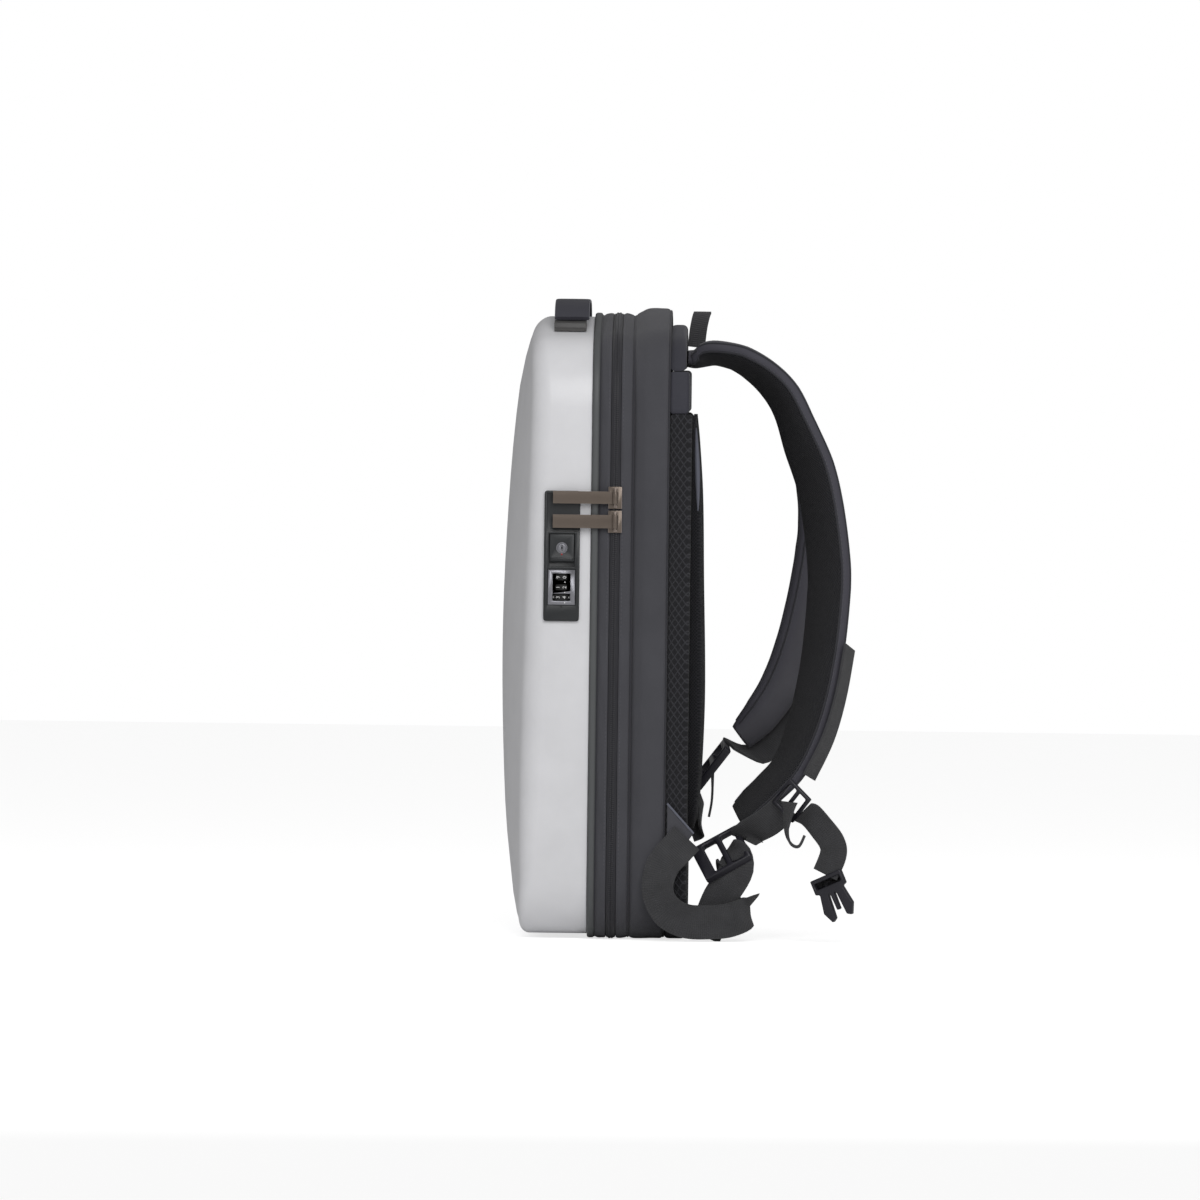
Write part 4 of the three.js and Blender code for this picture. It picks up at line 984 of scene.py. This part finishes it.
# Side, out and up are shares of spread, reach and the pack's height; turn is in degrees
strapRight = [
    (.38, .095, .92, 0, .9, .8),
    (.38, .16, .92, 0, .95, .9),
    (.4, .24, .927, 3, 1, 1),
    (.43, .315, .928, 6, 1, 1),
    (.47, .461, .914, 12, 1, 1),
    (.51, .596, .888, 15, 1, 1),
    (.56, .708, .851, 18, 1, 1),
    (.62, .794, .796, 22, 1, 1),
    (.69, .887, .735, 24, 1, 1),
    (.76, .937, .675, 24, 1, 1),
    (.82, .972, .604, 24, 1, 1),
    (.87, .976, .55, 24, 1, 1),
    (.93, .948, .463, 23, 1, 1),
    (.98, .901, .391, 22, 1, 1),
    (1.0, .838, .33, 20, 1, 1),
    (1.02, .75, .277, 18, .95, 1),
    (1.02, .63, .242, 18, .9, .9),
    (1.02, .527, .217, 20, .8, .75),
    (1.01, .44, .197, 24, .55, .4),
]
strapLeft = [
    (-.38, .095, .92, 0, .9, .8),
    (-.38, .16, .92, 0, .95, .9),
    (-.4, .24, .925, 0, 1, 1),
    (-.43, .315, .923, 0, 1, 1),
    (-.5, .461, .911, -2, 1, 1),
    (-.6, .594, .885, -4, 1, 1),
    (-.7, .704, .847, -8, 1, 1),
    (-.82, .795, .794, -14, 1, 1),
    (-.95, .868, .73, -19, 1, 1),
    (-1.03, .902, .677, -22, 1, 1),
    (-1.08, .906, .626, -24, 1, 1),
    (-1.1, .879, .569, -24, 1, 1),
    (-1.11, .836, .511, -24, 1, 1),
    (-1.1, .776, .451, -24, 1, 1),
    (-1.08, .687, .392, -24, .98, .95),
    (-1.05, .572, .345, -24, .92, .85),
    (-1.03, .448, .308, -24, .72, .48),
]
edgeCorners = [
    (-.5, .15), (-.46, -.34), (-.3, -.5), (.3, -.5), (.46, -.34),
    (.5, .15), (.45, .42), (.25, .5), (-.25, .5), (-.45, .42),
]
padStitch = {"pitch": 3.2 * mm, "long": 2.4 * mm, "wide": 0.5 * mm, "rise": 0.3 * mm}


def onStrap(stations, angle, lift=0.0):
    # points on the pad's skin at one angle of its section, each with the skin's normal
    c, s = math.cos(angle), math.sin(angle)
    w = 0.5 * math.copysign(abs(c) ** 0.5, c)
    t = 0.5 * math.copysign(abs(s) ** 0.85, s)
    points = []
    for station, along, across, face in frames(stations):
        normal = (across * w * station["thick"] + face * t * station["wide"]).normalized()
        at = station["centre"] + across * w * station["wide"] + face * t * station["thick"]
        points.append((at + normal * lift, normal))
    return points


def makeStrap(word, rows, node):
    stations = between(strapStations(rows), strap["steps"])
    count = strap["around"]
    shape = loft(stripRings(stations, softSection(count, 0.5, 0.85)))
    total = (len(stations) - 1) * count

    def pick(polygon):
        # the mesh is on the side that lies on the wearer
        if polygon.index >= total:
            return 0
        angle = 360 * (polygon.index % count + 0.5) / count
        return 1 if 203 < angle < 337 else 0

    finishes = [materials["binding"], materials["padMesh"]]
    name = "shoulderPad" + word
    piece = makePiece(name, shape, finishes, replaced=[node], sharp=70, pick=pick)
    cords = []
    for degrees in (202, 338, 20, 160):
        line = [p for p, n in onStrap(stations, math.radians(degrees), 0.1 * mm)]
        cords.append(tube(line[2:-2], 0.75 * mm, 8))
    makePiece("padSeam" + word, joined(*cords), materials["seam"])
    lines = [onStrap(stations, math.radians(degrees), 0.05 * mm)[3:-3] for degrees in (194, 346, 28, 152)]
    stitches("padStitch" + word, lines, materials["thread"], padStitch)


makeStrap("Right", strapRight, "strap_right")
makeStrap("Left", strapLeft, "strap_left")
print("shoulder pads made")

webSection = [
    (-0.5, -0.15), (-0.49, -0.5), (-0.25, -0.5), (0, -0.5), (0.25, -0.5), (0.49, -0.5), (0.5, -0.15),
    (0.5, 0.15), (0.49, 0.5), (0.25, 0.5), (0, 0.5), (-0.25, 0.5), (-0.49, 0.5), (-0.5, 0.15),
]
locks = {
    "right": {"at": (1.1, .345, .137), "along": (0, .87, .49), "across": (.66, .45, -.6)},
    "left": {"at": (-1.1, .27, .262), "along": (.1, .6, .79), "across": (.9, 0, -.2)},
    "glide": {"at": (1.346, .765, .225), "along": (.2, .7, -.7), "across": (.6, .5, .6)},
    "buckle": {"at": (1.3, .976, .1075), "along": (.1, .39, -.92), "across": (.35, .9, .3)},
    "other": {"at": (-1.35, .995, .465), "along": (0, -.05, -1), "across": (.8, .3, 0)},
    "long": 38 * mm,
    "wide": 33 * mm,
    "thick": 6 * mm,
}


def lockPlace(lock):
    x = Vector(lock["along"]).normalized()
    z = x.cross(Vector(lock["across"])).normalized()
    return place(*lock["at"]), x, z.cross(x), z


def atLock(lock, forward, off, wide=None):
    centre, x, y, z = lockPlace(lock)
    return {
        "centre": centre + x * forward + z * off,
        "across": y,
        "wide": wide or strap["web"],
        "thick": strap["webThick"],
    }


def makeWeb(name, node, stations, slack=0.0, steps=6, tight=False):
    for before, after in zip(stations, stations[1:]):
        if before["across"].dot(after["across"]) < 0:
            after["across"] = -after["across"]
    smooth = between(stations, steps)
    shape = loft(stripRings(smooth, webSection))
    piece = makePiece(name, shape, materials["webbing"], replaced=[node], sharp=55)
    return smooth


def looseRows(side, rows):
    half = pack["half"]
    return [{
        "centre": Vector((side * (half + a * strap["web"]), strap["root"] + o * strap["reach"], u * pack["height"])),
        "across": Vector((side * w[0], w[1], w[2])).normalized(),
        "wide": strap["web"],
        "thick": strap["webThick"],
    } for a, o, u, w in rows]


def chestRows(rows):
    return [{
        "centre": place(s, o, u),
        "across": Vector(w).normalized(),
        "wide": strap["chestWeb"],
        "thick": strap["webThick"],
    } for s, o, u, w in rows]


loadRight = [
    (.105, .133, .163, (0, -.7, .7)),
    (.2, .07, .145, (-.1, -.6, .7)),
    (.3, -.005, .122, (-.25, -.8, .5)),
    (.42, -.04, .093, (-.4, -.9, .1)),
    (.48, -.03, .068, (-.4, -.85, -.3)),
    (.44, .03, .045, (-.2, -.5, -.8)),
    (.3, .13, .032, (-.1, -.15, -1)),
    (.12, .25, .03, (0, 0, -1)),
    (-.05, .405, .034, (0, 0, -1)),
    (-.6, .515, .05, (.1, 0, -1)),
    (-.8, .42, .078, (.75, .62, -.1)),
]
tailRight = [
    (-.3, .436, .115, (.05, .95, -.3)),
    (-.42, .335, .068, (.1, 1, -.1)),
    (-.45, .285, .035, (0, 1, -.1)),
    (-.45, .24, .006, (0, 1, -.1)),
]
loadLeft = [
    (-.5, .18, .212, (-1, 0, -.1)),
    (-.28, .195, .194, (-1, -.1, -.4)),
    (-.03, .205, .177, (-.7, -.1, -.8)),
    (.105, .175, .166, (-.1, -.1, -1)),
    (.105, .13, .161, (0, -.1, -1)),
]
tailLeft = [
    (-.6, .275, .222, (1, 0, 0)),
    (-.6, .27, .2, (1, 0, 0)),
    (-.6, .255, .178, (1, 0, 0)),
]
chestRight = [
    (1.335, .88, .202, (.4, .5, .7)),
    (1.34, .945, .183, (.35, .55, .65)),
    (1.335, 1.01, .16, (.3, .8, .45)),
    (1.32, 1.02, .14, (.3, .95, .2)),
]
chestTail = [
    (1.37, .735, .18, (1, .1, 0)),
    (1.37, .76, .158, (1, 0, 0)),
    (1.37, .81, .153, (1, 0, 0)),
    (1.37, .845, .17, (1, 0, 0)),
]
chestLeft = [
    (-1.34, 1.005, .49, (.8, .3, 0)),
    (-1.35, 1.0, .478, (.8, .3, 0)),
]


def makeWebs():
    gap = locks["thick"] / 2 + strap["webThick"] / 2 + 0.3 * mm
    long = locks["long"]
    rails = {"tilt": 40, "shift": 0}
    boxes = {"tilt": 80, "shift": -7 * mm}
    right = edgeStations(strapRight, 1, **rails)
    left = edgeStations(strapLeft, -1, **rails)
    makeWeb("railWebRight", "rail_web_right", right[12:16])
    makeWeb("railWebLeft", "rail_web_left", left[10:13])
    right = edgeStations(strapRight, 1, **boxes)[-3:]
    leftEdge = edgeStations(strapLeft, -1, **boxes)[-3:]
    makeWeb("boxWebRight", "box_web_right", right + [atLock(locks["right"], long / 2 + 1.2 * mm, 0)])
    makeWeb("boxWebLeft", "box_web_left", leftEdge + [atLock(locks["left"], long / 2 + 1.2 * mm, 0)])
    end = atLock(locks["right"], -long / 8, gap + 0.3 * mm)
    makeWeb("loadWebRight", "load_web_right", looseRows(1, loadRight) + [end])
    start = atLock(locks["right"], long / 4, -gap - 0.3 * mm)
    makeWeb("tailWebRight", "tail_web_right", [start] + looseRows(1, tailRight))
    start = atLock(locks["left"], -long / 2 - 0.6 * mm, 0)
    makeWeb("loadWebLeft", "load_web_left", [start] + looseRows(-1, loadLeft))
    start = atLock(locks["left"], -long / 8, gap)
    makeWeb("tailWebLeft", "tail_web_left", [start] + looseRows(-1, tailLeft))
    chest = strap["chestWeb"]
    start = atLock(locks["glide"], 11.9 * mm, 0, chest)
    end = atLock(locks["buckle"], -0.6 * mm, 0, chest)
    makeWeb("chestWebRight", "sternum_web_right", [start] + chestRows(chestRight) + [end])
    start = atLock(locks["glide"], 0, (3 * mm + strap["webThick"]) / 2 + 0.3 * mm, chest)
    makeWeb("chestWebTail", "web_tail_right", [start] + chestRows(chestTail))
    end = atLock(locks["other"], -0.6 * mm, 0, chest)
    hang = dict(left[12], wide=chest)
    hang["centre"] = hang["centre"] + hang["normal"] * (strap["webThick"] + 0.3 * mm)
    makeWeb("chestWebLeft", "sternum_web_left", [hang] + chestRows(chestLeft) + [end])


makeWebs()
print("webs made")

handle = {
    "rows": [(.55, -.3), (.5, .2), (.42, .62), (.3, .88), (.15, .98), (0, 1)],
    "span": 160 * mm,
    "rise": 10 * mm,
    "wide": 25.5 * mm,
    "thick": 3 * mm,
    "y": -56.3 * mm,
}


def makeHandle():
    top = pack["height"] - pack["frontSink"] - 3 * mm + handle["thick"] / 2
    rows = handle["rows"] + [(-x, z) for x, z in reversed(handle["rows"][:-1])]
    stations = [{
        "centre": Vector((x * handle["span"], handle["y"], top + z * handle["rise"])),
        "across": Vector((0, 1, 0)),
        "wide": handle["wide"],
        "thick": handle["thick"],
    } for x, z in rows]
    smooth = between(stations, 6)
    count = 28
    shape = loft(stripRings(smooth, softSection(count, 0.25, 0.45)))

    # the band's two side edges get the lighter handleHighlight finish: a painted highlight along the rounded rims
    def pick(polygon):
        if polygon.index >= (len(smooth) - 1) * count:
            return 0
        angle = 360 * (polygon.index % count + 0.5) / count
        return 1 if angle < 20 or angle > 340 or 160 < angle < 200 else 0

    finishes = [materials["handle"], materials["handleHighlight"]]
    makePiece("handleBand", shape, finishes, replaced=["handle_band"], sharp=50, pick=pick)
    softened("handle_base_right", "handleBaseRight", materials["handleBase"], width=0.6)
    softened("handle_base_left", "handleBaseLeft", materials["handleBase"], width=0.6)


makeHandle()
print("handle made")

grab = {
    "rows": [(.5, 0, -1), (.5, .3, -.5), (.49, .6, -.2), (.45, .85, -.04), (.36, .95, 0), (0, 1, 0)],
    "span": 78 * mm,
    "wide": 12.4 * mm,
    "thick": 2 * mm,
    "top": 458 * mm,
    "lean": 4.5 * mm,
}


def makeGrabLoop():
    footY = strap["start"] + grab["wide"] / 2
    footZ = place(0, 0, strapRight[0][2]).z + strap["thick"] / 2 + grab["thick"]
    drop = grab["top"] - footZ
    rows = grab["rows"] + [(-x, o, z) for x, o, z in reversed(grab["rows"][:-1])]
    stations = [{
        "centre": Vector((
            x * grab["span"],
            footY + o * grab["lean"],
            grab["top"] - grab["thick"] / 2 + z * drop,
        )),
        "across": Vector((0, 1, 0)),
        "wide": grab["wide"],
        "thick": grab["thick"],
    } for x, o, z in rows]
    makeWeb("grabLoop", "grab_loop", stations, steps=5)


makeGrabLoop()
print("grab loop made")


def makeHardParts():
    plastic = materials["plastic"]
    softened("ladder_lock_right", "ladderLockRight", plastic, width=1.4)
    softened("ladder_lock_left", "ladderLockLeft", plastic, width=1.4)
    softened("tri_glide", "triGlide", plastic, width=1.0)
    softened("male_buckle", "maleBuckle", plastic, width=0.9)
    softened("female_buckle", "femaleBuckle", plastic, width=1.2)
    # rim is the painted highlight finish for the sliders' and pulls' rounded edges
    pull, rim = materials["pull"], materials["pullHighlight"]
    for word in ("upper", "lower"):
        softened("zipper_slider_" + word, "slider" + word.capitalize(), pull, width=0.35, edge=rim)
        body = "pull_" + word
        softened("zip_pull_" + word, "pull" + word.capitalize(), pull, body, 0.35, rim)
    softened("lock_housing", "lockHousing", materials["lock"], width=0.3)
    softened("dial_bezel", "dialBezel", materials["silver"], width=0.25)
    softened("lock_slide", "lockSlide", materials["lock"], "slide", 0.35)
    softened("key_core", "keyCore", materials["silver"], "key", 0.2)


makeHardParts()
print("hard parts made")

lockFace = {
    "x": 151.8 * mm,
    "y": -60.9 * mm,
    "dialZ": 256.2 * mm,
    "pitch": 7.3 * mm,
    "dialX": 146.4 * mm,
    "dialRadius": 7.6 * mm,
    "digit": 3.9 * mm,
    "buttonZ": 284.9 * mm,
    "dotY": -58.4 * mm,
}


def digitMesh(text, size):
    curve = bpy.data.curves.new("digit", "FONT")
    curve.body = text
    curve.size = size
    curve.align_x = "CENTER"
    curve.align_y = "CENTER"
    curve.extrude = 0.06 * mm
    curve.resolution_u = 3
    thing = bpy.data.objects.new("digit", curve)
    bpy.context.scene.collection.objects.link(thing)
    graph = bpy.context.evaluated_depsgraph_get()
    mesh = bpy.data.meshes.new_from_object(thing.evaluated_get(graph))
    bpy.data.objects.remove(thing)
    return mesh


def makeDials():
    for n in range(3):
        z = lockFace["dialZ"] + (1 - n) * lockFace["pitch"]
        centre = Vector((lockFace["dialX"], lockFace["y"], z))
        r = lockFace["dialRadius"]
        half = 2.25 * mm
        rows = [(-half, 1.6 * mm), (-half, r - 0.4 * mm), (-half + 0.4 * mm, r), (half - 0.4 * mm, r)]
        rows += [(half, r - 0.4 * mm), (half, 1.6 * mm)]
        body = "dial_" + str(n + 1)
        ring = turned(centre, (0, 0, 1), rows, 60)
        makePiece("dialRing" + str(n + 1), ring, materials["dial"], body, [body])
        grid = bmesh.new()
        for k in range(10):
            mesh = digitMesh(str((k + 2 * n) % 10), lockFace["digit"])
            a = math.radians(18 + 36 * k)
            outward = Vector((math.cos(a), math.sin(a), 0))
            around = Vector((-math.sin(a), math.cos(a), 0))
            turn = Matrix((Vector((0, 0, 1)), -around, outward)).transposed().to_4x4()
            turn = Matrix.Translation(centre + outward * r) @ turn
            mesh.transform(turn)
            grid.from_mesh(mesh)
        white = bpy.data.meshes.new("digits")
        grid.to_mesh(white)
        grid.free()
        white.materials.clear()
        white.materials.append(materials["digit"])
        piece = bpy.data.objects.new("dialDigits" + str(n + 1), white)
        bpy.context.scene.collection.objects.link(piece)
        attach(piece, body)


makeDials()


def makeLockMarks():
    x = lockFace["x"]
    y = lockFace["y"]
    dots = []
    for z in (267.6, 259.9, 252.5, 245.0):
        dots.append(turned((x + 0.95 * mm, lockFace["dotY"], z * mm), (1, 0, 0), [(0, 0.5 * mm), (0.1 * mm, 0.45 * mm)], 14))
    makePiece("indexDots", joined(*dots), materials["digit"])
    # a flat black disc on the lock face where the reset pin hole is: painted shade standing in for the hole's dark
    # inside
    holeShade = turned((x - 0.02 * mm, y, 242.0 * mm), (1, 0, 0), [(0, 0.75 * mm), (0.06 * mm, 0.7 * mm)], 16)
    makePiece("pinHoleShade", holeShade, materials["dial"])
    red = turned((x + 0.92 * mm, y, 280.2 * mm), (1, 0, 0), [(0, 0.55 * mm), (0.1 * mm, 0.45 * mm)], 14)
    makePiece("redDot", red, materials["redMark"], "slide")
    ring = turned(
        (x + 0.9 * mm, y, lockFace["buttonZ"]),
        (1, 0, 0),
        [(0, 4.2 * mm), (0.25 * mm, 4.0 * mm), (0.25 * mm, 3.5 * mm), (0, 3.35 * mm)],
        36,
    )
    makePiece("keyRing", ring, materials["silver"], "slide")


makeLockMarks()
print("lock made")

zipper = {"y": -22.5 * mm, "pitch": 1.5 * mm, "long": 2.6 * mm, "rise": 0.5 * mm}


def makeZip():
    sink = pack["frontSink"]
    line = outline(0.2 * mm, sink, 0.0)
    points = resampled(line, zipper["pitch"])
    count = len(points)
    shapes = []
    verts = []
    faces = []
    uvs = []
    for i, (x, z) in enumerate(points):
        px, pz = points[(i + 1) % count]
        along = Vector((px - x, 0, pz - z)).normalized()
        out = Vector((0, -1, 0)).cross(along)
        if out.dot(Vector((x, 0, z - pack["height"] / 2))) < 0:
            out = -out
        for row in (-1, 1):
            centre = Vector((x, zipper["y"] + row * 0.9 * mm, z)) + along * (0.4 * mm if row > 0 else 0)
            start = len(verts)
            for a, b in ((-0.5, -0.5), (0.5, -0.5), (0.5, 0.5), (-0.5, 0.5)):
                base = centre + along * a * 0.9 * mm + Vector((0, b * 1.7 * mm, 0))
                verts.append(base)
                verts.append(base - (base - centre) * 0.35 + out * zipper["rise"])
            for k in range(4):
                m = (k + 1) % 4
                faces.append((start + 2 * k, start + 2 * m, start + 2 * m + 1, start + 2 * k + 1))
                uvs.append(((0, 0), (0.001, 0), (0.001, 0.001), (0, 0.001)))
            faces.append((start + 1, start + 3, start + 5, start + 7))
            uvs.append(((0, 0), (0.001, 0), (0.001, 0.001), (0, 0.001)))
    makePiece("zipCoil", (verts, faces, uvs), materials["coil"])


makeZip()

seamStitch = {"pitch": 3.0 * mm, "long": 2.2 * mm, "wide": 0.45 * mm, "rise": 0.22 * mm}


def bandLine(y, inset, sink, lift=0.0):
    points = outline(inset, sink, lift)
    made = []
    for i, (x, z) in enumerate(points):
        px, pz = points[i - 1]
        nx, nz = points[(i + 1) % len(points)]
        normal = Vector((-(nz - pz), 0, nx - px))
        if normal.dot(Vector((x, 0, z - pack["height"] / 2))) < 0:
            normal = -normal
        made.append((Vector((x, y, z)), normal.normalized()))
    return made + made[:1]


def makeBandSeams():
    sink = pack["frontSink"]
    lines = [
        bandLine(-27.6 * mm, 0.45 * mm, sink),
        bandLine(-17.2 * mm, 0.5 * mm, sink),
    ]
    stitches("bandStitches", lines, materials["thread"], seamStitch)
    cords = []
    for y, inset, sunk, lift in ((-10.0, 2.4, sink, 1.4), (-34.45, 2.4, sink, 1.6), (15.75, 2.0, 0.0, 1.6)):
        points = [p for p, n in bandLine(y * mm, inset * mm, sunk, lift * mm)]
        cords.append(tube(points, 0.9 * mm, 8))
    makePiece("bandPiping", joined(*cords), materials["seam"])


makeBandSeams()
print("zip and seams made")


def makeWings():
    for side, word in ((1, "right"), (-1, "left")):
        piece = softened("wing_" + word, "wing" + word.capitalize(), materials["cloth"], width=1.0)
        low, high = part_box("wing_" + word)
        x = side * (max(abs(low.x), abs(high.x)) + 0.2 * mm)
        points = [Vector((x, low.y + (high.y - low.y) * t, high.z + (0.17 - 0.217) * pack["height"] * t)) for t in
                  (k / 16 for k in range(17))]
        makePiece("wingPiping" + word.capitalize(), tube(points, 0.8 * mm, 8), materials["piping"])


makeWings()

cutAway(bpy.data.objects["shellTray"], blockShape(
    (140 * mm, -71.6 * mm, (279 - 44.6) * mm),
    (149.7 * mm, -50.2 * mm, (279 + 44.6) * mm),
))
